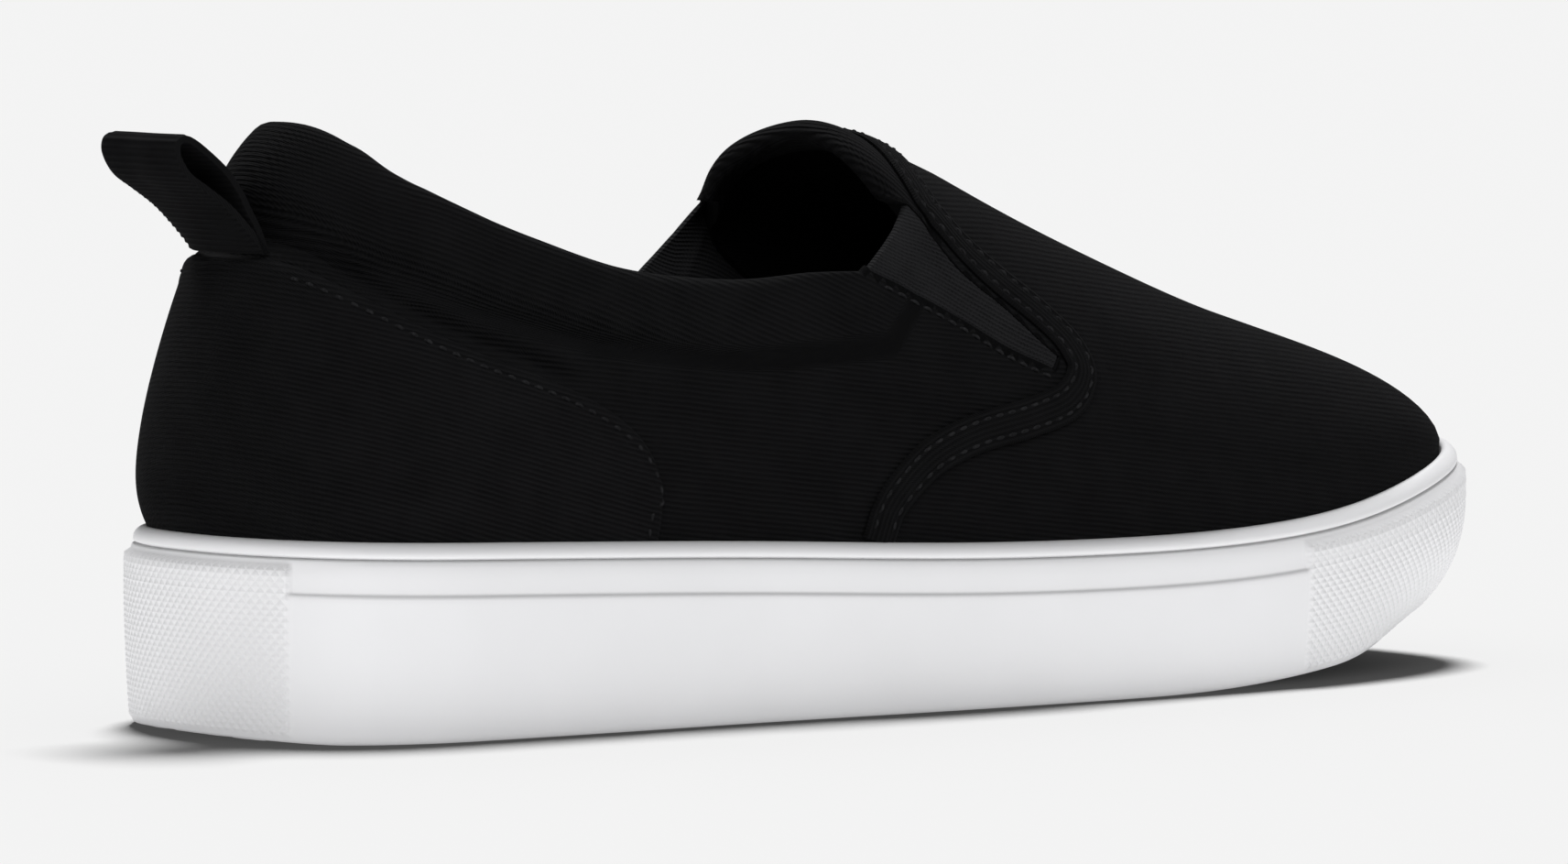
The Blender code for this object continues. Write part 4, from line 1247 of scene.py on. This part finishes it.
@dataclass
class Insole:
    """The sock on the cup's floor, slightly crowned at its edge."""

    finish: bpy.types.Material
    thickness: float = 4.5 * MM
    gap: float = 0.3 * MM
    columns: int = 200
    rings: int = 14
    ring_step: float = 1.6 * MM
    border: tuple[tuple[float, float], ...] = ((0.0, 0.0), (0.0, 0.55), (0.25 * MM, 0.8), (0.9 * MM, 0.96))

    def build(self) -> bpy.types.Object:
        """Build the insole as a crowned closed form.

        Returns:
            The piece.
        """
        angles = np.linspace(0, 2 * math.pi, self.columns, endpoint=False)
        inset = LAST.feather + PADDING.wall + 2 * self.gap
        rings = [(inset + move, rise) for move, rise in self.border]
        rings += [(inset + self.ring_step + k * self.ring_step, 1.0) for k in range(self.rings)]
        grid = []
        for move, rise in rings:
            x, y = LAST.outline(angles, move)
            grid.append(np.stack([x, y, LAST.cup_floor(x) + self.gap + self.thickness * rise], axis=1))
        grid = np.array(grid).transpose(1, 0, 2)
        rows = grid.shape[1]
        faces = quads(self.columns, rows, True)
        for row, flip in ((0, True), (rows - 1, False)):
            faces += lid(self.columns, rows, row, flip)
        points = grid.reshape(-1, 3)
        piece = make_piece("insole_sock", points, faces, [self.finish], cloth=points)
        return stand_in(piece, "lining", "insole")


class GorePlan(NamedTuple):
    """Side-view borders of the elastic wedge, shares of the length and the instep height."""

    lower: tuple[Edge, ...] = (
        Edge(0.442, 0.738), Edge(0.474, 0.708), Edge(0.506, 0.660), Edge(0.539, 0.608), Edge(0.576, 0.566))
    front: tuple[Edge, ...] = (
        Edge(0.493, 0.855), Edge(0.511, 0.756), Edge(0.541, 0.683), Edge(0.570, 0.610), Edge(0.583, 0.587))
    mouth: tuple[Edge, ...] = (Edge(0.470, 0.880), Edge(0.432, 0.810))


GORE_PLAN = GorePlan()


@dataclass
class Upper:
    """The twill upper: outside, padded edge and lining as one closed skin, with a notch for each gore."""

    cloth: bpy.types.Material
    lining: bpy.types.Material
    columns: int = 340
    body_rows: int = 64
    pad_rows: int = 30
    edge_steps: int = 10
    inner_rows: int = 30
    facing_rows: int = 9
    foot_gap: float = 0.3 * MM
    slope: float = 0.13
    collar_slope: float = 0.36
    lip_slope: float = 1.5
    slope_from: float = 1.25
    slope_span: float = 0.4
    lip_from: float = 0.455
    lip_span: float = 0.03
    depth_share: float = 0.5
    notch_reach: tuple[float, float] = (8 * MM, 80 * MM)

    def build(self) -> bpy.types.Object:
        """Build the upper and cut its notches.

        Returns:
            The piece.
        """
        skin = Skin(np.linspace(0, 2 * math.pi, self.columns, endpoint=False))
        depth, pad, _, _ = PADDING.of(skin)
        half, reach = (PADDING.wall + pad) / 2, PADDING.reach * depth
        body = np.linspace(0, 1, self.body_rows, endpoint=False)[None] * (skin.lengths - reach)[:, None]
        share = np.linspace(1, 0, self.pad_rows)[None]
        over = (skin.lengths - half)[:, None] - (reach - half)[:, None] * share
        distances = np.concatenate([body, over], axis=1)
        grid = skin.rows(distances)
        normals = grid_normals(grid)
        out, thick = PADDING.stand_off(skin, distances)
        outer = grid + normals * (out - CREASES.push(grid))[..., None]
        inner = outer - normals * thick[..., None]
        last = outer.shape[1] - 1
        up = outer[:, last] - outer[:, last - 2]
        up /= np.linalg.norm(up, axis=1, keepdims=True)
        middle = (outer[:, last] + inner[:, last]) / 2
        across = outer[:, last] - middle
        rise = up * np.linalg.norm(across, axis=1, keepdims=True)
        turns = math.pi * np.arange(1, self.edge_steps) / self.edge_steps
        roll = np.stack([middle + across * math.cos(t) + rise * math.sin(t) for t in turns], axis=1)
        picks = np.unique(np.round(np.linspace(last, 0, self.inner_rows)).astype(int))[::-1]
        foot, inner_foot = outer[:, :1].copy(), inner[:, :1].copy()
        floor = LAST.cup_floor(skin.foot[:, 0]) + self.foot_gap
        foot[:, 0, 2] = inner_foot[:, 0, 2] = floor
        whole = np.concatenate([foot, outer, roll, inner[:, picks], inner_foot], axis=1)
        columns, rows = whole.shape[:2]
        faces = quads(columns, rows, True)
        for i in range(columns):
            near, far = i * rows, (i + 1) % columns * rows
            faces.append((near + rows - 1, far + rows - 1, far, near))
        lined = 1 + last + 1 + len(turns) + self.facing_rows
        kinds = [0 if j % (rows - 1) < lined else 1 for j in range(columns * (rows - 1))] + [1] * columns
        piece = make_piece("upper_twill", whole.reshape(-1, 3), faces, [self.cloth, self.lining], kinds,
                           self.cloth_places(skin, whole))
        self.notch(piece)
        return stand_in(piece, "twill", "upper")

    def cloth_places(self, skin: Skin, whole: Array) -> Array:
        """Place of each point on the cloth, whose ribs slope more on the collar and steeply on the lip.

        Args:
            skin: The last's skin.
            whole: The upper's points, columns first.

        Returns:
            The places.
        """
        depth = PADDING.of(skin)[0]
        away = np.linalg.norm(whole - skin.edge[:, None], axis=2) / depth[:, None]
        near = smooth((self.slope_from - away) / self.slope_span)
        lip = smooth((skin.edge[:, 0] / LAST.length - self.lip_from) / self.lip_span)[:, None]
        slope = self.slope + near * (self.collar_slope * (1 - lip) + self.lip_slope * lip - self.slope)
        x, z = whole[..., 0], whole[..., 2]
        size = np.sqrt(1 + slope ** 2)
        places = ((x - slope * z) / size, (z + slope * x) / size, whole[..., 1] * self.depth_share)
        return np.stack(places, axis=2).reshape(-1, 3)

    def notch(self, piece: bpy.types.Object) -> None:
        """Cut the gores' wedges out of both sides.

        Args:
            piece: The upper.
        """
        lower, front = LAST.line(GORE_PLAN.lower, LAST.instep), LAST.line(GORE_PLAN.front, LAST.instep)
        mouth = [(e.along * LAST.length, e.height * LAST.instep) for e in GORE_PLAN.mouth]
        wedge = np.vstack([lower, front[::-1], mouth])
        count = len(wedge)
        points, faces = [], []
        for side in Side:
            start = len(points)
            for reach in self.notch_reach:
                points += [(x, side.value * reach, z) for x, z in wedge]
            faces.append(tuple(start + i for i in range(count)))
            faces.append(tuple(start + count + i for i in reversed(range(count))))
            for i in range(count):
                near, far = start + i, start + (i + 1) % count
                faces.append((near, far, far + count, near + count))
        cutter = make_piece("notch_cutter", np.array(points), faces, [self.cloth])
        cut = piece.modifiers.new("notch", "BOOLEAN")
        cut.operation, cut.object, cut.solver = "DIFFERENCE", cutter, "EXACT"
        graph = bpy.context.evaluated_depsgraph_get()
        mesh = bpy.data.meshes.new_from_object(piece.evaluated_get(graph))
        piece.modifiers.clear()
        piece.data = mesh
        mesh.set_sharp_from_angle(angle=math.radians(50.0))
        bpy.data.objects.remove(cutter, do_unlink=True)


@dataclass
class Counter:
    """The heel counter: a separate panel of twill with a turned, stitched top edge."""

    cloth: bpy.types.Material
    front: float = 0.268
    start: float = 0.15 * MM
    gap: float = 0.08 * MM
    thickness: float = 0.6 * MM
    hem: float = 4.2 * MM
    hem_rise: float = 0.35 * MM
    hem_power: float = 0.75
    seam: float = 2.3 * MM
    seam_depth: float = 0.3 * MM
    seam_spread: float = 0.45 * MM
    edge_share: float = 0.6
    edge_width: float = 0.8 * MM
    rib_slope: float = 0.28
    columns: int = 240
    rows: int = 90
    top: tuple[Edge, ...] = (
        Edge(0.010, 0.792), Edge(0.044, 0.782), Edge(0.073, 0.736), Edge(0.106, 0.682), Edge(0.144, 0.634),
        Edge(0.194, 0.583), Edge(0.224, 0.545), Edge(0.248, 0.500), Edge(0.261, 0.455), Edge(0.268, 0.400),
    )

    def tops(self, skin: Skin) -> Array:
        """Distance along each column at which it passes the counter's top line.

        Args:
            skin: The last's skin.

        Returns:
            The distances.
        """
        line = LAST.line(self.top, LAST.collar)
        found = []
        for points in skin.columns:
            run = run_of(points)
            over = points[:, 2] - np.interp(points[:, 0], line[:, 0], line[:, 1])
            i = int(np.argmax(over > 0)) or len(points) - 1
            share = np.clip(-over[i - 1] / (over[i] - over[i - 1]), 0, 1)
            found.append(run[i - 1] + share * (run[i] - run[i - 1]))
        return np.array(found)

    def build(self) -> bpy.types.Object:
        """Build the counter on the last's own columns.

        Returns:
            The piece.
        """
        reach = (self.front * LAST.length - LAST.feather) / (LAST.length - 2 * LAST.feather)
        front = math.acos(1 - 2 * reach)
        behind = np.linspace(-front, front, self.columns)
        ahead = np.linspace(front, 2 * math.pi - front, 40)[1:-1]
        skin = Skin(np.concatenate([behind, ahead]) % (2 * math.pi))
        tops = self.tops(skin)
        share = np.linspace(0, 1, self.rows)[None]
        distances = self.start + (tops - self.start)[:, None] * share
        grid = skin.rows(distances)
        normals = grid_normals(grid)
        out = PADDING.stand_off(skin, distances)[0] - CREASES.push(grid)
        keep = slice(0, self.columns)
        inner = (grid + normals * (out + self.gap)[..., None])[keep]
        border = np.concatenate([inner[0], inner[1:-1, -1], inner[-1]])
        away = np.min([np.linalg.norm(inner - point, axis=-1) for point in border], axis=0)
        hem = np.clip(away / self.hem, 0, 1)
        ridge = np.sin(math.pi * hem ** self.hem_power) * self.hem_rise
        seam = self.seam_depth * np.exp(-((away - self.seam) / self.seam_spread) ** 2)
        edge = self.edge_share + (1 - self.edge_share) * smooth(away / self.edge_width)
        puff = self.thickness * edge + ridge - seam
        outer = inner + normals[keep] * puff[..., None]
        slanted = outer[..., 2] + self.rib_slope * outer[..., 0]
        cloth = np.stack([outer[..., 0], slanted, outer[..., 1]], axis=2)
        points, faces, places = slab(Sheet(outer, cloth), inner, 0.35)
        piece = make_piece("heel_counter_twill", points, faces, [self.cloth], cloth=places)
        return stand_in(piece, "twill", "heel_counter")


@dataclass
class VampBand:
    """The raised, double-stitched band round the gores and over the vamp."""

    cloth: bpy.types.Material
    surface: Surface
    width: float = 6.2 * MM
    gap: float = 0.1 * MM
    thickness: float = 1.15 * MM
    stations: int = 520
    strips: int = 17
    side: tuple[Edge, ...] = (
        Edge(0.4325, 0.2955), Edge(0.4368, 0.345), Edge(0.450, 0.390), Edge(0.472, 0.435),
        Edge(0.505, 0.467), Edge(0.545, 0.487), Edge(0.580, 0.512), Edge(0.598, 0.556),
        Edge(0.595, 0.602), Edge(0.576, 0.655), Edge(0.548, 0.716), Edge(0.524, 0.782),
        Edge(0.510, 0.850),
    )
    over: tuple[tuple[float, float], ...] = ((0.512, 0.42), (0.521, 0.22), (0.525, 0.00))
    edge_share: float = 0.75
    groove: float = 0.3 * MM
    groove_share: float = 0.3
    groove_spread: float = 0.06

    def path(self) -> Array:
        """Middle line of the band on the surface, from the lateral rim to the medial rim.

        Returns:
            Its points.
        """
        side = LAST.line(self.side, LAST.instep)
        lateral = [self.surface.pierce(x, z, Side.LATERAL) for x, z in side]
        medial = [self.surface.pierce(x, z, Side.MEDIAL) for x, z in side]
        half = LAST.ball_width / 2
        over = [(along * LAST.length, -across * half) for along, across in self.over]
        over += [(x, -y) for x, y in reversed(over[:-1])]
        top = [self.surface.drop(x, y) for x, y in over]
        path = resampled(rounded(np.array(lateral + top + medial[::-1]), 3), self.stations)
        return np.array([self.surface.near(p)[0] for p in path])

    def across(self, path: Array, shares: Sequence[float]) -> tuple[Array, Array]:
        """Places and normals on the surface at shares of the width either side of the path.

        Args:
            path: The middle line.
            shares: Shares of the width, 0 in the middle.

        Returns:
            Places and normals, path first.
        """
        ways = np.gradient(path, axis=0)
        places, normals = [], []
        for place, way in zip(path, ways):
            _, normal = self.surface.near(place)
            sideways = np.cross(normal, way / np.linalg.norm(way))
            found = [self.surface.near(place + sideways * self.width * k) for k in shares]
            places.append([p for p, _ in found])
            normals.append([n for _, n in found])
        return np.array(places), np.array(normals)

    def build(self) -> bpy.types.Object:
        """Build the band.

        Returns:
            The piece.
        """
        path = self.path()
        shares = np.linspace(-0.5, 0.5, self.strips)
        places, normals = self.across(path, shares)
        crown = np.cos(np.clip(np.abs(shares) * 2, 0, 1) ** 2 * math.pi / 2)
        crown = self.thickness * (self.edge_share + (1 - self.edge_share) * crown)
        groove = self.groove * np.exp(-((np.abs(shares) - self.groove_share) / self.groove_spread) ** 2)
        inner = places + normals * self.gap
        outer = inner + normals * (crown - groove)[None, :, None]
        run = run_of(path)
        cloth = np.stack([run[:, None] + 0 * shares, 0 * run[:, None] + shares * self.width,
                          0 * run[:, None] + 0 * shares], axis=2)
        points, faces, spots = slab(Sheet(outer, cloth), inner, 0.35)
        piece = make_piece("vamp_band", points, faces, [self.cloth], cloth=spots)
        return stand_in(piece, "twill", "vamp_edge_band")


@dataclass
class Gore:
    """An elastic wedge with woven ribs and a plain selvedge along its free edge."""

    cloth: bpy.types.Material
    surface: Surface
    side: Side
    gap: float = 0.1 * MM
    thickness: float = 1.4 * MM
    depth: float = 0.4 * MM
    rib: float = 0.8 * MM
    rib_height: float = 0.28 * MM
    selvedge: float = 3.0 * MM
    selvedge_fade: float = 0.8 * MM
    reach: float = 0.99
    steps: int = 190
    strips: int = 96

    def build(self) -> bpy.types.Object:
        """Build the wedge in its notch.

        Returns:
            The piece.
        """
        lower = resampled(LAST.line(GORE_PLAN.lower, LAST.instep), self.steps, self.reach)
        front = resampled(LAST.line(GORE_PLAN.front, LAST.instep), self.steps, self.reach)
        run = run_of((lower + front) / 2)
        outer, inner, cloth = [], [], []
        for low, high, along in zip(lower, front, run):
            wide = np.linalg.norm(high - low)
            row, under, spots = [], [], []
            for share in np.linspace(self.gap / wide, 1 - self.gap / wide, self.strips):
                x, z = low + (high - low) * share
                place = self.surface.pierce(x, z, self.side)
                across = share * wide
                weave = math.sin(2 * math.pi * along / self.rib) * math.sin(2 * math.pi * across / self.rib)
                plain = float(smooth(np.array((along - self.selvedge) / self.selvedge_fade)))
                inward = self.depth - self.rib_height * (0.5 + 0.5 * weave) * plain
                row.append(place - (0, self.side.value * inward, 0))
                under.append(place - (0, self.side.value * (self.depth + self.thickness), 0))
                spots.append((along, across, 0.0))
            outer.append(row)
            inner.append(under)
            cloth.append(spots)
        points, faces, places = slab(Sheet(np.array(outer), np.array(cloth)), np.array(inner), 0.1)
        name = f"gore_{self.side.name.lower()}"
        piece = make_piece(f"{name}_elastic", points, faces, [self.cloth], cloth=places)
        return stand_in(piece, "elastic", name)


@dataclass
class PullLoop:
    """The folded, ribbed tape behind the collar."""

    cloth: bpy.types.Material
    width: float = 21 * MM
    thickness: float = 1.1 * MM
    rib: float = 1.25 * MM
    rib_height: float = 0.24 * MM
    strips: int = 60
    steps: int = 420
    bend_foot: float = 3.4 * MM
    bend_top: float = 0.5 * MM
    bend_height: float = 15 * MM
    hole_start: float = 3.4 * MM
    selvedge: float = 0.9 * MM
    ripple: float = 0.22 * MM
    ripple_turn: float = 9.0
    outline: tuple[tuple[float, float], ...] = (
        (10.8, 80.3), (9.3, 82.1), (6.6, 84.9), (3.2, 88.0), (-1.1, 90.9), (-4.2, 92.9), (-6.0, 95.0),
        (-7.0, 97.4), (-6.6, 99.4), (-4.9, 100.2), (-2.7, 99.4), (0.8, 96.9), (3.9, 94.2), (6.5, 90.9),
        (8.4, 87.7), (10.2, 84.7), (11.3, 82.2), (12.15, 80.3),
    )

    def build(self) -> bpy.types.Object:
        """Build the tape as one closed ring.

        Returns:
            The piece.
        """
        line = resampled(rounded(np.array(self.outline) * MM), self.steps)
        way = np.gradient(line, axis=0)
        way /= np.linalg.norm(way, axis=1, keepdims=True)
        inward = np.stack([way[:, 1], -way[:, 0]], axis=1)
        hole = line + inward * self.thickness
        foot = line[0, 1]
        kept = hole[:, 1] > foot + self.hole_start
        hole = resampled(hole[kept], self.steps)
        ribs = self.rib_height * (0.5 - 0.5 * np.cos(2 * math.pi * run_of(line) / self.rib))
        points, cloth = [], []
        for share in np.linspace(-0.5, 0.5, self.strips):
            plain = float(smooth(np.array((0.5 - abs(share)) * self.width / self.selvedge)))
            wave = self.ripple * math.sin(share * self.ripple_turn)
            for ring, lift in ((line, ribs * plain), (hole, 0 * ribs)):
                rise = smooth((ring[:, 1] - foot) / self.bend_height)
                bend = self.bend_foot + (self.bend_top - self.bend_foot) * rise
                flat = ring - inward * lift[:, None]
                x = flat[:, 0] - bend * (1 - (2 * share) ** 2) + wave * rise
                points.append(np.stack([x, np.full(len(ring), share * self.width), flat[:, 1]], axis=1))
                run = run_of(ring)
                cloth.append(np.stack([np.full(len(ring), share * self.width), run, 0 * run], axis=1))
        count, faces = len(line), []
        pairs = [(ring, ring + 2) for ring in range(2 * self.strips - 2)]
        pairs += [(ring, ring + 1) for ring in (0, 2 * self.strips - 2)]
        for first, second in pairs:
            near, far = first * count, second * count
            for i in range(count):
                j = (i + 1) % count
                faces.append((near + i, near + j, far + j, far + i))
        piece = make_piece("pull_loop_tape", np.concatenate(points), faces, [self.cloth],
                           cloth=np.concatenate(cloth))
        return stand_in(piece, "tape", "pull_loop")


@dataclass
class Stitching:
    """Rows of short stitches laid on the upper, joined into one mesh a row."""

    thread: bpy.types.Material
    surface: Surface
    pitch: float = 2.7 * MM
    share: float = 0.74
    radius: float = 0.33 * MM
    sides: int = 6
    rings: int = 7
    blunt: float = 0.08
    arch: float = 1.3
    sink: float = 0.7
    flatness: float = 0.8

    def row(self, name: str, path: Array, rise: float) -> bpy.types.Object:
        """Sew a row of stitches along a line on the surface.

        Args:
            name: Name of the piece.
            path: Points of the line.
            rise: Height of the cloth under the stitches above the upper.

        Returns:
            The piece.
        """
        run = run_of(path)
        count = int(run[-1] / self.pitch)
        points, faces = [], []
        for k in range(count):
            start = (k + 0.5 * (1 - self.share)) * self.pitch
            places = np.linspace(start, start + self.share * self.pitch, self.rings)
            line = np.stack([np.interp(places, run, path[:, a]) for a in range(3)], axis=1)
            way = line[-1] - line[0]
            way /= np.linalg.norm(way)
            _, normal = self.surface.near(line[self.rings // 2])
            aside = np.cross(way, normal)
            base = len(points)
            for place, share in zip(line, np.linspace(0, 1, self.rings)):
                swell = math.sin(math.pi * (self.blunt + (1 - 2 * self.blunt) * share)) ** 0.5
                lift = self.radius * (self.arch * math.sin(math.pi * share) - self.sink)
                middle = place + normal * (rise + lift)
                for s in range(self.sides):
                    turn = 2 * math.pi * s / self.sides
                    spoke = aside * math.cos(turn) + normal * math.sin(turn) * self.flatness
                    points.append(middle + spoke * self.radius * swell)
            for r in range(self.rings - 1):
                for s in range(self.sides):
                    a, b = base + r * self.sides + s, base + r * self.sides + (s + 1) % self.sides
                    faces.append((a, b, b + self.sides, a + self.sides))
            faces.append(tuple(base + s for s in range(self.sides)))
            tip = base + (self.rings - 1) * self.sides
            faces.append(tuple(tip + s for s in reversed(range(self.sides))))
        points = np.array(points)
        piece = make_piece(name, points, faces, [self.thread], cloth=points, sharp=80.0)
        return stand_in(piece, "twill")


@dataclass
class Studio:
    """The pale floor, the lights and the camera."""

    camera_azimuth: float = 38.0
    camera_elevation: float = 3.7
    distance: float = 1756.8 * MM
    target: tuple[float, float, float] = (135 * MM, 0.0, 50 * MM)
    lens: float = 232.2
    shift: tuple[float, float] = (-0.0211, -0.0178)
    dome: float = 0.12
    floor_sun: tuple[float, ...] = (2.88, 48.0, 74.0, 16.0)
    cloth_suns: tuple[tuple[float, ...], ...] = (
        (2.5, 72.0, 54.0, 30.0), (1.75, 268.0, 44.0, 36.0), (0.75, 218.0, 40.0, 40.0))
    rubber_suns: tuple[tuple[float, ...], ...] = (
        (3.0, 46.0, 66.0, 22.0), (0.42, 266.0, 48.0, 60.0), (0.65, 310.0, 0.0, 70.0),
        (1.3, 186.0, 0.0, 70.0), (1.15, 252.0, -40.0, 70.0))
    floor_grey: float = 0.9
    floor_reach: float = 30.0
    sensor: float = 36.0
    clip: float = 100.0

    def floor(self) -> bpy.types.Object:
        """Lay the floor.

        Returns:
            The floor object.
        """
        mesh = bpy.data.meshes.new("studio_floor")
        corners = ((-1, -1), (1, -1), (1, 1), (-1, 1))
        points = [(x * self.floor_reach, y * self.floor_reach, 0) for x, y in corners]
        mesh.from_pydata(points, [], [(0, 1, 2, 3)])
        nodes = Nodes("pale_floor")
        nodes.shader.inputs["Base Color"].default_value = (*[self.floor_grey] * 3, 1)
        nodes.shader.inputs["Roughness"].default_value = 1.0
        nodes.shader.inputs["Specular IOR Level"].default_value = 0.0
        mesh.materials.append(nodes.material)
        floor = bpy.data.objects.new("studio_floor", mesh)
        bpy.context.collection.objects.link(floor)
        return floor

    def suns(self, name: str, kinds: Sequence[Sequence[float]], lit: Sequence[bpy.types.Object],
             blockers: Sequence[bpy.types.Object]) -> None:
        """Hang the soft suns of one part of the picture.

        Args:
            name: What they light.
            kinds: Strength, azimuth, elevation and angular size of each, in degrees from +X towards +Y.
            lit: The pieces they light.
            blockers: The pieces that throw shadows in them.
        """
        collections = []
        for role, objects in (("lit", lit), ("blockers", blockers)):
            collections.append(bpy.data.collections.new(f"{name}_{role}"))
            for piece in objects:
                collections[-1].objects.link(piece)
        for number, (strength, azimuth, elevation, spread) in enumerate(kinds):
            data = bpy.data.lights.new(f"{name}_sun_{number}", "SUN")
            data.energy, data.angle = strength, math.radians(spread)
            light = bpy.data.objects.new(data.name, data)
            a, e = math.radians(azimuth), math.radians(elevation)
            source = Vector((math.cos(a) * math.cos(e), math.sin(a) * math.cos(e), math.sin(e)))
            light.rotation_mode = "QUATERNION"
            light.rotation_quaternion = source.to_track_quat("Z", "Y")
            light.light_linking.receiver_collection, light.light_linking.blocker_collection = collections
            bpy.context.collection.objects.link(light)

    def lights(self, rubber: Sequence[bpy.types.Object], cloth: Sequence[bpy.types.Object],
               floor: bpy.types.Object) -> None:
        """Light the shoe and the floor.

        Args:
            rubber: Pieces of the sole.
            cloth: The other pieces of the shoe.
            floor: The floor.
        """
        world = bpy.data.worlds.new("studio")
        world.use_nodes = True
        back = world.node_tree.nodes["Background"]
        back.inputs["Color"].default_value = (1.0, 1.0, 1.0, 1.0)
        back.inputs["Strength"].default_value = self.dome
        bpy.context.scene.world = world
        shoe = [*rubber, *cloth]
        self.suns("floor", [self.floor_sun], [floor], shoe)
        self.suns("cloth", self.cloth_suns, cloth, shoe)
        self.suns("rubber", self.rubber_suns, rubber, shoe)

    def camera(self) -> bpy.types.Object:
        """Stand the camera at the photograph's angle.

        Returns:
            The camera.
        """
        data = bpy.data.cameras.new("photo_camera")
        data.lens, data.sensor_width = self.lens, self.sensor
        data.shift_x, data.shift_y = self.shift
        data.clip_end = self.clip
        camera = bpy.data.objects.new("photo_camera", data)
        a, e = math.radians(self.camera_azimuth), math.radians(self.camera_elevation)
        forward = Vector((math.sin(a) * math.cos(e), math.cos(a) * math.cos(e), -math.sin(e)))
        camera.location = Vector(self.target) + Vector(SHIFT) - forward * self.distance
        camera.rotation_mode = "QUATERNION"
        camera.rotation_quaternion = forward.to_track_quat("-Z", "Y")
        bpy.context.collection.objects.link(camera)
        bpy.context.scene.camera = camera
        return camera


def sew(thread: bpy.types.Material, surface: Surface, band: VampBand,
        counter: Counter) -> list[bpy.types.Object]:
    """Sew the visible rows of stitches.

    Args:
        thread: Finish of the thread.
        surface: The upper's outside.
        band: The vamp band, which has a row along each border.
        counter: The heel counter, which has a row inside its top edge.

    Returns:
        The rows.
    """
    stitching = Stitching(thread, surface)
    path = band.path()[3:-3]
    rows = []
    for name, share in (("band_stitches_outer", -0.3), ("band_stitches_inner", 0.3)):
        places, _ = band.across(path, [share])
        rows.append(stitching.row(name, places[:, 0], band.gap + band.thickness * 0.72))
    inset, foot_heights, start = 2.2 * MM, (36 * MM, 31.5 * MM), 12 * MM
    top = LAST.line(counter.top, LAST.collar) - (0, inset)
    top = np.vstack([top, [(counter.front * LAST.length - inset, height) for height in foot_heights]])
    top = top[top[:, 0] > start]
    for side in Side:
        line = np.array([surface.pierce(x, z, side) for x, z in rounded(top, 2)])
        rows.append(stitching.row(f"counter_stitches_{side.name.lower()}", resampled(line, 200),
                                  counter.gap + counter.thickness + counter.hem_rise - counter.seam_depth))
        lower = LAST.line(GORE_PLAN.lower, LAST.instep) - (0.4 * MM, 1.6 * MM)
        line = np.array([surface.pierce(x, z, side) for x, z in lower[2:]])
        rows.append(stitching.row(f"gore_stitches_{side.name.lower()}", resampled(line, 100), 0.05 * MM))
    return rows


def main() -> None:
    """Build the shoe's pieces in order, then the studio."""
    logging.basicConfig(level=logging.INFO, format="%(name)s %(message)s")
    twill = Cloth("twill", 0.0046).material()
    counter_twill = Cloth("counter_twill", 0.0056).material()
    # The lining's grey, set below the twill's, is partly the lining's own black and partly painted shade
    # for the dark inside of the shoe.
    lining = Cloth("lining", 0.0036, rib=0.6 * MM, relief=0.05 * MM, sheen=0.0, specular=0.01).material()
    tape = Cloth("ribbed_tape", 0.0056, rib=1.25 * MM, relief=0.05 * MM).material()
    elastic = Cloth("elastic", 0.0118, rib=0.8 * MM, thread=0.55 * MM, relief=0.12 * MM).material()
    thread = Cloth("thread", 0.0125, rib=0.5 * MM, relief=0.03 * MM).material()
    rubber = Moulding().material()
    surface = Surface()
    band = VampBand(twill, surface)
    counter = Counter(counter_twill)
    pieces = [
        CupSole(rubber).build(),
        Tread(rubber).build(),
        Insole(lining).build(),
        Upper(twill, lining).build(),
        counter.build(),
        band.build(),
        Gore(elastic, surface, Side.LATERAL).build(),
        Gore(elastic, surface, Side.MEDIAL).build(),
        PullLoop(tape).build(),
    ]
    pieces += sew(thread, surface, band, counter)
    for piece in pieces[:2]:
        piece.visible_diffuse = False
    studio = Studio()
    studio.camera()
    studio.lights(pieces[:2], pieces[2:], studio.floor())
    bpy.context.scene.view_settings.view_transform = "Standard"


if __name__ == "__main__":
    main()
